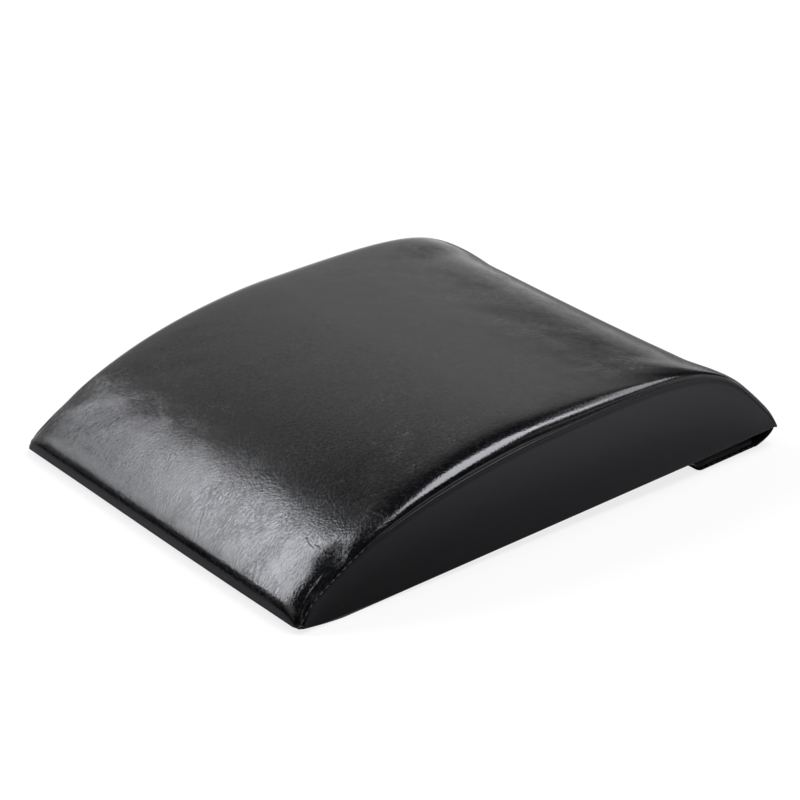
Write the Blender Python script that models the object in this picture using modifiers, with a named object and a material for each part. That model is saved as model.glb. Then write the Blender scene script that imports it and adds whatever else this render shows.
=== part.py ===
"""Arched sit-up mat with a fold-out tail-bone pad, as separate solids in metres, +Z up.

The mat is modelled in its own frame: X across, Y from the thin nose (0) to the thick tail, and
the underside of the base panel at Z = 0. An empty then leans that frame on the floor, because
the pad folded beneath the tail lifts it.
"""
import math

import bmesh
import bpy
import numpy as np
from mathutils import Vector
from mathutils.geometry import interpolate_bezier

# Outline of the mat
MAT_LENGTH = 0.380
MAT_WIDTH = 0.278
CREST_HEIGHT = 0.0684
CREST_FROM_NOSE = 0.182
NOSE_EDGE_HEIGHT = 0.0056
TAIL_EDGE_HEIGHT = 0.0034
NOSE_SLOPE = math.radians(53.5)
TAIL_SLOPE = math.radians(50.4)
NOSE_PULL_SHARE = 0.31
CREST_FRONT_PULL_SHARE = 0.26
CREST_REAR_PULL_SHARE = 0.755
TAIL_PULL_SHARE = 0.33

# The base curls up at the nose, and rises a little over the folded pad
NOSE_LIFT = 0.0045
NOSE_LIFT_LENGTH = 0.034
LIFT_BEND = 1.4
TAIL_LIFT = 0.0006

# Fullness of the foam under the top panel
TOP_CROWN = 0.0012
NOSE_FULLNESS = 0.0042
NOSE_FULLNESS_FROM_EDGE = 0.010
TAIL_FULLNESS = 0.0016
TAIL_FULLNESS_FROM_EDGE = 0.014
CORNER_PINCH = 5

# Puffed roll along each side of the top panel, fattest ahead of the crest
ROLL_DROP = 0.0078
ROLL_EDGE_WIDTH = 0.0018
ROLL_ASPECT = 1.35
ROLL_LEAN = 0.75
ROLL_FADE = 1.2
SEAM_LIP = 0.0010
SIDE_DRAW = 0.0028
SIDE_DRAW_HEIGHT = 0.020
SIDE_BULGE = 0.0010
SIDE_END_HEIGHT = 0.0024

# Cover and filling
SKIN = 0.0012
GAP = 0.0003
NOSE_TUCK = 0.0042
TAIL_TUCK = 0.0036
COMFORT_THICKNESS = 0.0140
COMFORT_END_HEIGHT = 0.0042
CORE_END_HEIGHT = 0.0030

# Fold-out tail-bone pad, as it lies folded under the tail
PAD_THICKNESS = 0.0088
PAD_BASE_CLEARANCE = 0.0012
PAD_SIDE_INSET = 0.0030
PAD_FREE_REACH = 0.0660
PAD_HINGE_SPAN = 0.0160
PAD_SKIN = 0.0010
PAD_CORNER_RADIUS = 0.0040
PAD_EDGE_RADIUS = 0.0018
PAD_SEAM_FLANGE = 0.0012
HINGE_STRIP_THICKNESS = 0.0010
HINGE_STRIP_INSET = 0.0040
HINGE_STRIP_BOW = 0.0010
HINGE_CLEARANCE = 0.0006

# Fineness of the meshes
STATIONS = 32
END_CLUSTER_SHARE = 0.80
FLAT_COLUMN_SHARES = (-1.0, -0.88, -0.68, -0.38, 0.0, 0.38, 0.68, 0.88, 1.0)
ROLL_STEPS = 3
SIDE_ROWS = 4
CURVE_SAMPLES = 240
STRIP_STEPS = 7
BEVEL_STEPS = 3

SHARP_ANGLE = math.radians(40)
ROUNDED_ANGLE = math.radians(50)
UPRIGHT_SHARE = 0.5

# Colour and roughness of each material
TOP_COVER = ((0.016, 0.016, 0.018, 1.0), 0.33)
SIDE_COVER = ((0.014, 0.015, 0.018, 1.0), 0.42)
PAD_COVER = ((0.016, 0.016, 0.018, 1.0), 0.38)
BASE_COVER = ((0.020, 0.020, 0.021, 1.0), 0.70)
STRIP_FABRIC = ((0.012, 0.012, 0.013, 1.0), 0.60)
FIRM_FOAM = ((0.055, 0.056, 0.060, 1.0), 0.95)
SOFT_FOAM = ((0.62, 0.58, 0.46, 1.0), 0.95)


class Station:
    """One place along the top outline: its point, its outward normal and the sizes there."""

    def __init__(self, y, z, normal, along, length):
        self.y = y
        self.z = z
        self.normal = normal
        self.share = along / length
        self.from_nose = along
        self.from_tail = length - along


def clear_scene():
    """Remove whatever the scene holds."""
    for obj in list(bpy.data.objects):
        bpy.data.objects.remove(obj, do_unlink=True)


def new_collection(name):
    """A collection linked to the scene."""
    collection = bpy.data.collections.new(name)
    bpy.context.scene.collection.children.link(collection)
    return collection


def material(name, finish):
    """A Principled BSDF material with a finish's colour and roughness."""
    colour, roughness = finish
    made = bpy.data.materials.new(name)
    made.use_nodes = True
    shader = made.node_tree.nodes["Principled BSDF"]
    shader.inputs["Base Color"].default_value = colour
    shader.inputs["Roughness"].default_value = roughness
    return made


def smoothstep(value):
    """0 below 0, 1 above 1, and a smooth rise between."""
    held = min(max(value, 0.0), 1.0)
    return held * held * (3 - 2 * held)


def hinge_point():
    """Y and Z of the fold line, where the hinge strip is sewn in under the tail's edge."""
    away = HINGE_STRIP_THICKNESS / 2 + HINGE_CLEARANCE
    slant = Vector((TAIL_TUCK, TAIL_EDGE_HEIGHT - TAIL_LIFT)).normalized()
    y = MAT_LENGTH - TAIL_TUCK / 2 + slant.y * away
    z = (TAIL_EDGE_HEIGHT + TAIL_LIFT) / 2 - slant.x * away
    return y, z


def flat_end():
    """Y of the rear end of the flat base, just ahead of the folded pad."""
    return hinge_point()[0] - PAD_FREE_REACH - PAD_CORNER_RADIUS


def base_height(y):
    """Height of the base panel's underside above its flat part."""
    nose = max(0.0, 1 - y / NOSE_LIFT_LENGTH)
    tail = max(0.0, (y - flat_end()) / (MAT_LENGTH - flat_end()))
    return NOSE_LIFT * nose ** LIFT_BEND + TAIL_LIFT * tail


def bezier(start, start_handle, end_handle, end):
    """Points of one cubic curve in the YZ plane."""
    ends = [Vector((0.0, *point)) for point in (start, start_handle, end_handle, end)]
    return [(p.y, p.z) for p in interpolate_bezier(*ends, CURVE_SAMPLES)]


def outline_points():
    """The top outline as two curves that meet level at the crest."""
    rise = CREST_FROM_NOSE
    fall = MAT_LENGTH - CREST_FROM_NOSE
    crest = (CREST_FROM_NOSE, CREST_HEIGHT)
    nose = (0.0, NOSE_EDGE_HEIGHT)
    tail = (MAT_LENGTH, TAIL_EDGE_HEIGHT)
    nose_pull = NOSE_PULL_SHARE * rise
    tail_pull = TAIL_PULL_SHARE * fall
    nose_handle = (nose_pull * math.cos(NOSE_SLOPE), nose[1] + nose_pull * math.sin(NOSE_SLOPE))
    tail_rise = tail_pull * math.sin(TAIL_SLOPE)
    tail_handle = (MAT_LENGTH - tail_pull * math.cos(TAIL_SLOPE), tail[1] + tail_rise)
    front_handle = (crest[0] - CREST_FRONT_PULL_SHARE * rise, CREST_HEIGHT)
    rear_handle = (crest[0] + CREST_REAR_PULL_SHARE * fall, CREST_HEIGHT)
    front = bezier(nose, nose_handle, front_handle, crest)
    rear = bezier(crest, rear_handle, tail_handle, tail)
    return np.array(front + rear[1:])


def make_stations():
    """Stations along the top outline, closer together at the nose and the tail."""
    points = outline_points()
    steps = np.diff(points, axis=0)
    along = np.concatenate([[0.0], np.cumsum(np.hypot(steps[:, 0], steps[:, 1]))])
    tangents = np.gradient(points, along, axis=0)
    length = along[-1]
    stations = []
    for even in np.linspace(0.0, 1.0, STATIONS + 1):
        eased = (1 - math.cos(math.pi * even)) / 2
        place = length * ((1 - END_CLUSTER_SHARE) * even + END_CLUSTER_SHARE * eased)
        y, z = (np.interp(place, along, points[:, axis]) for axis in (0, 1))
        ty, tz = (np.interp(place, along, tangents[:, axis]) for axis in (0, 1))
        normal = Vector((-tz, ty)).normalized()
        stations.append(Station(y, z, normal, place, length))
    return stations


def tuck_station(edge, y, toward):
    """The row where the top panel turns under the nose or the tail."""
    length = edge.from_nose + edge.from_tail
    turned = Station(y, base_height(y), Vector((0.0, -1.0)), edge.from_nose, length)
    edge.normal = (edge.normal + Vector((toward, -1.0)).normalized()).normalized()
    return turned


def roll_drop(station):
    """How far the side roll falls before its seam lip."""
    return ROLL_DROP * max(0.0, math.sin(math.pi * station.share ** ROLL_LEAN)) ** ROLL_FADE


def half_width(station):
    """Half the width at the side seam, drawn in where the mat is thick."""
    return MAT_WIDTH / 2 - SIDE_DRAW * smoothstep(station.z / SIDE_DRAW_HEIGHT)


def fullness(station, across):
    """Outward push of the foam at one place across the mat, none at the side seams."""
    nose = station.from_nose / NOSE_FULLNESS_FROM_EDGE
    tail = station.from_tail / TAIL_FULLNESS_FROM_EDGE
    swell = NOSE_FULLNESS * nose * math.exp(1 - nose) + TAIL_FULLNESS * tail * math.exp(1 - tail)
    crown = TOP_CROWN * smoothstep(station.z / SIDE_DRAW_HEIGHT)
    return swell * (1 - abs(across) ** CORNER_PINCH) + crown * (1 - across * across)


def pushed(station, x, outward):
    """The point at x, moved outward from the outline along its normal."""
    return Vector((x, station.y + station.normal.x * outward, station.z + station.normal.y * outward))


def section(station, inset, lip):
    """Points across the mat, seam to seam, inset from the outer face of the cover."""
    half = half_width(station)
    drop = roll_drop(station)
    width = ROLL_EDGE_WIDTH + ROLL_ASPECT * drop
    flat_half = half - width
    roll = max(width - inset, GAP)
    right = []
    for step in range(1, ROLL_STEPS + 1):
        turn = math.pi / 2 * step / ROLL_STEPS
        x = flat_half + roll * math.sin(turn)
        outward = fullness(station, x / half) - inset - drop * (1 - math.cos(turn))
        right.append(pushed(station, x, outward))
    if lip:
        right.append(pushed(station, flat_half + roll, -inset - drop - lip))
    flat = []
    for share in FLAT_COLUMN_SHARES:
        x = flat_half * share
        flat.append(pushed(station, x, fullness(station, x / half) - inset))
    left = [Vector((-p.x, p.y, p.z)) for p in reversed(right)]
    return left + flat + right


def grid_faces(rows, columns, start=0, flip=False):
    """Quads of a grid whose points are listed row by row."""
    faces = []
    for row in range(rows - 1):
        for column in range(columns - 1):
            a = start + row * columns + column
            quad = (a, a + 1, a + columns + 1, a + columns)
            faces.append(quad[::-1] if flip else quad)
    return faces


def add_object(name, mesh, owner, parent, finish):
    """An object in its collection, under its parent, with a material of its own."""
    obj = bpy.data.objects.new(name, mesh)
    owner.objects.link(obj)
    obj.parent = parent
    mesh.materials.append(material(name.replace("_", " "), finish))
    mesh.shade_smooth()
    mesh.set_sharp_from_angle(angle=SHARP_ANGLE)
    return obj


def sheet_mesh(name, rows):
    """An open surface lofted through rows of points; its faces look outward."""
    points = [tuple(point) for row in rows for point in row]
    mesh = bpy.data.meshes.new(name)
    mesh.from_pydata(points, [], grid_faces(len(rows), len(rows[0])))
    return mesh


def block_mesh(name, upper, lower):
    """A closed solid between an upper and a lower grid of the same size."""
    rows, columns = len(upper), len(upper[0])
    points = [tuple(point) for row in upper + lower for point in row]
    under = rows * columns
    faces = grid_faces(rows, columns) + grid_faces(rows, columns, under, flip=True)
    last = (rows - 1) * columns
    border = list(range(columns))
    border += [row * columns + columns - 1 for row in range(1, rows)]
    border += list(range(last + columns - 2, last - 1, -1))
    border += [row * columns for row in range(rows - 2, 0, -1)]
    for here, there in zip(border, border[1:] + border[:1]):
        faces.append((here, here + under, there + under, there))
    mesh = bpy.data.meshes.new(name)
    mesh.from_pydata(points, [], faces)
    return mesh


def thicken(obj, thickness, offset=-1.0):
    """Turn an open surface into a shell, by default on its inner side."""
    shell = obj.modifiers.new("thickness", "SOLIDIFY")
    shell.thickness = thickness
    shell.offset = offset
    shell.use_even_offset = True


def round_edges(obj, radius):
    """Rounded edges, wherever two faces meet sharply."""
    bevel = obj.modifiers.new("rounded edges", "BEVEL")
    bevel.width = radius
    bevel.segments = BEVEL_STEPS
    bevel.limit_method = "ANGLE"
    bevel.angle_limit = ROUNDED_ANGLE


def add_top_panel(stations, owner, parent):
    """The one panel that wraps from under the nose, over the arch, to under the tail."""
    rows = [section(station, 0.0, SEAM_LIP) for station in stations]
    panel = add_object("top_panel", sheet_mesh("top_panel", rows), owner, parent, TOP_COVER)
    thicken(panel, SKIN)


def add_side_panel(name, side, stations, owner, parent):
    """One crescent side panel, standing on the base panel and ending at the roll's seam."""
    columns = []
    for station in stations:
        seam = pushed(station, half_width(station), -roll_drop(station) - SEAM_LIP - GAP)
        foot = base_height(seam.y) + SKIN + GAP
        if seam.z - foot < SIDE_END_HEIGHT:
            continue
        column = []
        for row in range(SIDE_ROWS + 1):
            rise = row / SIDE_ROWS
            lean = MAT_WIDTH / 2 + (seam.x - MAT_WIDTH / 2) * rise
            x = lean + SIDE_BULGE * math.sin(math.pi * rise)
            column.append((side * x, seam.y, foot + (seam.z - foot) * rise))
        columns.append(column if side < 0 else column[::-1])
    panel = add_object(name, sheet_mesh(name, columns), owner, parent, SIDE_COVER)
    thicken(panel, SKIN)


def base_ends():
    """Front and rear edges of the base panel, clear of the turned-under top panel."""
    clear = SKIN + GAP
    return NOSE_TUCK + clear, MAT_LENGTH - TAIL_TUCK - clear


def add_base_panel(stations, owner, parent):
    """The flat base panel, curled up with the nose."""
    front, rear = base_ends()
    curled = [station.y for station in stations if front < station.y < NOSE_LIFT_LENGTH]
    places = [front, *curled, NOSE_LIFT_LENGTH, flat_end(), rear]
    half = MAT_WIDTH / 2
    rows = [[(half, y, base_height(y)), (-half, y, base_height(y))] for y in places]
    panel = add_object("base_panel", sheet_mesh("base_panel", rows), owner, parent, BASE_COVER)
    thicken(panel, SKIN)


def floor_inside(y):
    """Lowest place for the filling: just above the base panel."""
    return base_height(y) + SKIN + GAP


def core_top(station):
    """Top of the firm core, one comfort layer below the outline."""
    return station.z - SKIN - GAP - COMFORT_THICKNESS


def holds_core(station):
    """Whether the mat is thick enough here for the firm core."""
    return core_top(station) > floor_inside(station.y) + CORE_END_HEIGHT


def add_foam_core(stations, owner, parent):
    """The firm wedge that gives the mat its height."""
    held = [station for station in stations if holds_core(station)]
    foot_half = MAT_WIDTH / 2 - SKIN - GAP
    upper, lower = [], []
    for station in held:
        top_half = half_width(station) - SKIN - GAP
        top, foot = core_top(station), floor_inside(station.y)
        upper.append([Vector((side * top_half, station.y, top)) for side in (-1, 0, 1)])
        lower.append([Vector((side * foot_half, station.y, foot)) for side in (-1, 0, 1)])
    add_object("foam_core", block_mesh("foam_core", upper, lower), owner, parent, FIRM_FOAM)


def add_comfort_foam(stations, owner, parent):
    """The softer layer over the core, which fills the nose, the tail and the rolls."""
    inset = SKIN + GAP
    upper, lower = [], []
    for station in stations:
        row = section(station, inset, 0.0)
        seat = floor_inside(station.y)
        if holds_core(station):
            seat = core_top(station) + GAP
        if min(point.z for point in row) - seat < COMFORT_END_HEIGHT:
            continue
        upper.append(row)
        lower.append([Vector((point.x, station.y, seat)) for point in row])
    add_object("comfort_foam", block_mesh("comfort_foam", upper, lower), owner, parent, SOFT_FOAM)


def pad_levels():
    """Heights of the pad's face towards the base and of its face towards the floor."""
    top = -PAD_BASE_CLEARANCE
    return top, top - PAD_THICKNESS


def box_mesh(name, size, centre):
    """A box from the cube primitive, with its size in the mesh."""
    shape = bmesh.new()
    bmesh.ops.create_cube(shape, size=1.0)
    bmesh.ops.scale(shape, vec=size, verts=shape.verts)
    bmesh.ops.translate(shape, vec=centre, verts=shape.verts)
    mesh = bpy.data.meshes.new(name)
    shape.to_mesh(mesh)
    shape.free()
    return mesh


def open_below(mesh):
    """Take away a box's lower face."""
    shape = bmesh.new()
    shape.from_mesh(mesh)
    lowest = [face for face in shape.faces if face.normal.z < -UPRIGHT_SHARE]
    bmesh.ops.delete(shape, geom=lowest, context="FACES_ONLY")
    shape.to_mesh(mesh)
    shape.free()


def is_upright(edge):
    """Whether an edge stands nearer to upright than to level."""
    run = edge.verts[0].co - edge.verts[1].co
    return abs(run.normalized().z) > UPRIGHT_SHARE


def round_corners(mesh, radius):
    """Round a box's four upright edges."""
    shape = bmesh.new()
    shape.from_mesh(mesh)
    upright = [edge for edge in shape.edges if is_upright(edge)]
    bmesh.ops.bevel(
        shape, geom=upright, offset=radius, segments=BEVEL_STEPS, profile=0.5, affect="EDGES"
    )
    shape.to_mesh(mesh)
    shape.free()


class FoldedPad:
    """Sizes of the pad, measured from the fold line that its frame stands on."""

    def __init__(self):
        self.top, self.bottom = (level - hinge_point()[1] for level in pad_levels())
        self.width = MAT_WIDTH - 2 * PAD_SIDE_INSET
        self.length = PAD_FREE_REACH - PAD_HINGE_SPAN
        self.middle = -(PAD_HINGE_SPAN + self.length / 2)
        self.seam = self.bottom + PAD_SKIN / 2
        self.tray_depth = PAD_THICKNESS - PAD_SKIN - GAP

    def size(self, inset, depth):
        """A block of the pad's outline, drawn in all round."""
        return self.width - 2 * inset, self.length - 2 * inset, depth


def add_pad_outer_skin(pad, owner, parent):
    """The flat skin that faces the floor, wide enough to be sewn to the tray's rim."""
    name = "tail_pad_outer_skin"
    flat = box_mesh(name, pad.size(0.0, PAD_SKIN), (0.0, pad.middle, pad.seam))
    round_corners(flat, PAD_CORNER_RADIUS)
    add_object(name, flat, owner, parent, PAD_COVER)


def add_pad_inner_skin(pad, owner, parent):
    """The shallow tray of skin that faces the base and holds the foam."""
    name = "tail_pad_inner_skin"
    size = pad.size(PAD_SEAM_FLANGE, pad.tray_depth)
    tray = box_mesh(name, size, (0.0, pad.middle, pad.top - pad.tray_depth / 2))
    round_corners(tray, PAD_CORNER_RADIUS)
    open_below(tray)
    skin = add_object(name, tray, owner, parent, PAD_COVER)
    round_edges(skin, PAD_EDGE_RADIUS)
    thicken(skin, PAD_SKIN)


def add_pad_foam(pad, owner, parent):
    """The thin block of soft foam inside the tray."""
    name = "tail_pad_foam"
    clear = PAD_SKIN + GAP
    depth = pad.tray_depth - clear
    centre = (0.0, pad.middle, pad.top - clear - depth / 2)
    foam = box_mesh(name, pad.size(PAD_SEAM_FLANGE + clear, depth), centre)
    round_corners(foam, PAD_CORNER_RADIUS - clear)
    filling = add_object(name, foam, owner, parent, SOFT_FOAM)
    round_edges(filling, PAD_EDGE_RADIUS - clear / 2)


def add_hinge_strip(pad, owner, parent):
    """The fabric strip from the fold line to the seam of the pad's outer skin."""
    end = Vector((-(PAD_HINGE_SPAN - GAP), pad.seam))
    bow = Vector((-end.y, end.x)).normalized() * HINGE_STRIP_BOW
    bend = end / 2 + bow * 2
    half = pad.width / 2 - HINGE_STRIP_INSET
    rows = []
    for step in range(STRIP_STEPS + 1):
        t = step / STRIP_STEPS
        place = bend * 2 * t * (1 - t) + end * t * t
        rows.append([(-half, place.x, place.y), (half, place.x, place.y)])
    strip = add_object("hinge_strip", sheet_mesh("hinge_strip", rows), owner, parent, STRIP_FABRIC)
    thicken(strip, HINGE_STRIP_THICKNESS, offset=0.0)


def world_points(objects):
    """Every corner of the finished solids, in world space."""
    graph = bpy.context.evaluated_depsgraph_get()
    found = []
    for obj in objects:
        evaluated = obj.evaluated_get(graph)
        mesh = evaluated.to_mesh()
        found += [evaluated.matrix_world @ vertex.co for vertex in mesh.vertices]
        evaluated.to_mesh_clear()
    return np.array([tuple(point) for point in found])


def stand_on_floor(frame, objects):
    """Lean the mat on its nose and its folded pad, then centre it over the origin."""
    bpy.context.view_layer.update()
    points = world_points(objects)
    lowest = points[points[:, 2].argmin()]
    heel = points[(points[:, 2] < lowest[2] + GAP)][:, 1].min()
    ahead = points[points[:, 1] < heel - PAD_FREE_REACH]
    lean = np.arctan2(ahead[:, 2] - lowest[2], heel - ahead[:, 1]).min()
    frame.rotation_euler = (lean, 0.0, 0.0)
    bpy.context.view_layer.update()
    points = world_points(objects)
    low, high = points.min(axis=0), points.max(axis=0)
    frame.location = (-(low[0] + high[0]) / 2, -(low[1] + high[1]) / 2, -low[2])
    bpy.context.view_layer.update()


def main():
    """Build every piece and stand the mat on the floor."""
    clear_scene()
    owner = new_collection("ab mat")
    mat_frame = bpy.data.objects.new("mat_frame", None)
    pad_frame = bpy.data.objects.new("tail_pad_frame", None)
    for empty in (mat_frame, pad_frame):
        owner.objects.link(empty)
    pad_frame.parent = mat_frame
    pad_frame.location = (0.0, *hinge_point())

    stations = make_stations()
    nose, tail = stations[0], stations[-1]
    under_nose = tuck_station(nose, NOSE_TUCK, -1.0)
    under_tail = tuck_station(tail, MAT_LENGTH - TAIL_TUCK, 1.0)
    add_top_panel([under_nose, *stations, under_tail], owner, mat_frame)
    add_side_panel("right_side_panel", 1, stations, owner, mat_frame)
    add_side_panel("left_side_panel", -1, stations, owner, mat_frame)
    add_base_panel(stations, owner, mat_frame)
    add_foam_core(stations, owner, mat_frame)
    add_comfort_foam(stations, owner, mat_frame)
    pad = FoldedPad()
    add_pad_outer_skin(pad, owner, pad_frame)
    add_pad_inner_skin(pad, owner, pad_frame)
    add_pad_foam(pad, owner, pad_frame)
    add_hinge_strip(pad, owner, pad_frame)
    stand_on_floor(mat_frame, [obj for obj in owner.objects if obj.type == "MESH"])


main()
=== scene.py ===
"""Looks of the arched sit-up mat: a sewn leather-look cover over foam, and its folded tail-bone pad."""
import logging
import math
from dataclasses import dataclass
from enum import Enum

import bmesh
import bpy
import numpy as np
from mathutils import Matrix, Vector


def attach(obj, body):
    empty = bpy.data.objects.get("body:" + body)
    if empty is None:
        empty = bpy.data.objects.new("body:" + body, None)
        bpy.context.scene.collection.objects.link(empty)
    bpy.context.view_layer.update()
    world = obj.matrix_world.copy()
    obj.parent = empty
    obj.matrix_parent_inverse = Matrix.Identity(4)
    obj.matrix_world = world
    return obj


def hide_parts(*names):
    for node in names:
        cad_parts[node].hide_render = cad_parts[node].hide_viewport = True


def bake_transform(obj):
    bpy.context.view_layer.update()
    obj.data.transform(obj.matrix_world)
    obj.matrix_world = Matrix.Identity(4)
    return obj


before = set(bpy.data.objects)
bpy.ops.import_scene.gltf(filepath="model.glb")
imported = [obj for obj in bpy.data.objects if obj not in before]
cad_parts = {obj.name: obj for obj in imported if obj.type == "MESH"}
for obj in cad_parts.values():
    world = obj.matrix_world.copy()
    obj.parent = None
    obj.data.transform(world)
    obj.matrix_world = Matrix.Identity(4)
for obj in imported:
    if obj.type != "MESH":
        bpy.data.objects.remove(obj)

log = logging.getLogger("ab mat")

Pairs = tuple[tuple[float, float], ...]  # places with the value at each, or insets with their heights
Triple = tuple[float, float, float]  # a colour, or a place
Socket = bpy.types.NodeSocket

MM = 0.001
NO_PATH_WAY = np.array([0.31, 0.22, 0.92])  # no stitch runs this way, so a tube can be turned from it
TIP_SHARE = 0.45  # width of a tube's tip, as a share of its middle
VALUE_SUMS = ("DOT_PRODUCT", "DISTANCE")  # sums of vectors that give one value


class Slot(Enum):
    """Material slots of the record."""

    TOP = "top_cover"
    SIDE = "side_cover"
    BASE = "base_cover"
    PAD = "pad_cover"
    HINGE = "hinge_fabric"


class Body(Enum):
    """Bodies of the part."""

    MAT = "mat"
    TAIL_PAD = "tail_pad"


class Side(Enum):
    """The two long sides, with the sign of X on each."""

    LEFT = -1
    RIGHT = 1


# ---------------------------------------------------------------- small helpers


def smoothstep(value: np.ndarray | float) -> np.ndarray:
    """Rise smoothly from 0 to 1.

    Args:
        value: Where on the rise; it is held between 0 and 1.

    Returns:
        The eased value.
    """
    held = np.clip(value, 0.0, 1.0)
    return held * held * (3 - 2 * held)


def unit(vectors: np.ndarray) -> np.ndarray:
    """Scale vectors to length one.

    Args:
        vectors: Vectors in the last axis.

    Returns:
        The same directions with length one.
    """
    return vectors / np.maximum(np.linalg.norm(vectors, axis=-1, keepdims=True), 1e-12)


def graded(stops: list[tuple[float, float]]) -> np.ndarray:
    """Places along a line whose spacing changes from stretch to stretch.

    Args:
        stops: Pairs of where a stretch ends and the spacing in it; the first only starts the line.

    Returns:
        The places, rising.
    """
    places = [stops[0][0]]
    for end, spacing in stops[1:]:
        count = max(1, round((end - places[-1]) / spacing))
        places += list(np.linspace(places[-1], end, count + 1)[1:])
    return np.array(places)


def through(pairs: Pairs, at: np.ndarray) -> np.ndarray:
    """A smooth curve through given pairs.

    Args:
        pairs: Places and the values there.
        at: Places to read.

    Returns:
        The values at those places.
    """
    x, y = np.array(pairs).T
    slope = np.gradient(y, x)
    index = np.clip(np.searchsorted(x, at) - 1, 0, len(x) - 2)
    span = x[index + 1] - x[index]
    t = np.clip((at - x[index]) / span, 0.0, 1.0)
    first = (2 * t**3 - 3 * t**2 + 1) * y[index] + (t**3 - 2 * t**2 + t) * span * slope[index]
    return first + (3 * t**2 - 2 * t**3) * y[index + 1] + (t**3 - t**2) * span * slope[index + 1]


def travelled(points: np.ndarray) -> np.ndarray:
    """How far along a line each of its points lies.

    Args:
        points: The line's points, in order.

    Returns:
        The distances from its start.
    """
    return np.concatenate([[0.0], np.cumsum(np.linalg.norm(np.diff(points, axis=0), axis=1))])


def cubic(a: np.ndarray, b: np.ndarray, c: np.ndarray, d: np.ndarray, count: int) -> np.ndarray:
    """One cubic curve.

    Args:
        a: Its start.
        b: The handle of its start.
        c: The handle of its end.
        d: Its end.
        count: How many points it gets.

    Returns:
        Its points.
    """
    t = np.linspace(0, 1, count)[:, None]
    return (1 - t) ** 3 * a + 3 * (1 - t) ** 2 * t * b + 3 * (1 - t) * t * t * c + t**3 * d


def towards(azimuth: float, elevation: float) -> Vector:
    """The direction in which a lamp or a patch of wall lies.

    Args:
        azimuth: Degrees round from straight before the nose, to the right.
        elevation: Degrees above the floor.

    Returns:
        A vector of length one.
    """
    a, e = math.radians(azimuth), math.radians(elevation)
    return Vector((math.sin(a) * math.cos(e), -math.cos(a) * math.cos(e), math.sin(e)))


def grid_faces(rows: int, columns: int, closed: bool = False) -> list[tuple[int, ...]]:
    """Quads of a grid whose points are listed row by row.

    Args:
        rows: How many rows.
        columns: How many points in a row.
        closed: Whether the last point of a row joins the first.

    Returns:
        The quads.
    """
    faces = []
    for row in range(rows - 1):
        for column in range(columns if closed else columns - 1):
            following = (column + 1) % columns
            a, b = row * columns + column, row * columns + following
            faces.append((a, b, b + columns, a + columns))
    return faces


def end_caps(rows: int, columns: int, start: int = 0) -> list[tuple[int, ...]]:
    """Both flat ends of a tube whose rings are listed one by one.

    Args:
        rows: How many rings.
        columns: How many points in a ring.
        start: Number of the first point.

    Returns:
        Two faces.
    """
    last = start + (rows - 1) * columns
    return [tuple(range(start + columns - 1, start - 1, -1)), tuple(range(last, last + columns))]


def link_mesh(name: str, points: np.ndarray, faces: list) -> bpy.types.Object:
    """A closed mesh in the scene, with its faces turned outward.

    Args:
        name: Name of the object.
        points: Its points, in metres in the world.
        faces: Its faces.

    Returns:
        The object.
    """
    mesh = bpy.data.meshes.new(name)
    mesh.from_pydata([tuple(point) for point in points], [], faces)
    made = bpy.data.objects.new(name, mesh)
    bpy.context.scene.collection.objects.link(made)
    shape = bmesh.new()
    shape.from_mesh(mesh)
    bmesh.ops.recalc_face_normals(shape, faces=shape.faces)
    shape.to_mesh(mesh)
    shape.free()
    return made


def make_object(name: str, points: np.ndarray, faces: list, finish: bpy.types.Material) -> bpy.types.Object:
    """A smooth-shaded piece.

    Args:
        name: Name of the piece.
        points: Its points, in metres in the world.
        faces: Its faces.
        finish: Its material.

    Returns:
        The object.
    """
    made = link_mesh(name, points, faces)
    made.data.materials.append(finish)
    made.data.shade_smooth()
    return made


def tubes(paths: list[np.ndarray], radius: float, sides: int = 6) -> tuple[np.ndarray, list]:
    """Closed round tubes along paths, narrower at their tips.

    Args:
        paths: Point lists, one per tube.
        radius: Radius of each tube.
        sides: Points round a tube.

    Returns:
        All points, and all faces.
    """
    points: list[np.ndarray] = []
    faces: list[tuple[int, ...]] = []
    turn = np.linspace(0, 2 * math.pi, sides, endpoint=False)
    start = 0
    for path in paths:
        tangent = unit(np.gradient(path, axis=0))
        across = unit(np.cross(tangent, NO_PATH_WAY))
        other = np.cross(tangent, across)
        swell = np.full(len(path), radius)
        swell[[0, -1]] = radius * TIP_SHARE
        ring = np.cos(turn)[None, :, None] * across[:, None] + np.sin(turn)[None, :, None] * other[:, None]
        points.append((path[:, None] + swell[:, None, None] * ring).reshape(-1, 3))
        faces += [tuple(start + corner for corner in quad) for quad in grid_faces(len(path), sides, closed=True)]
        faces += end_caps(len(path), sides, start)
        start += len(path) * sides
    return np.concatenate(points), faces


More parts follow.
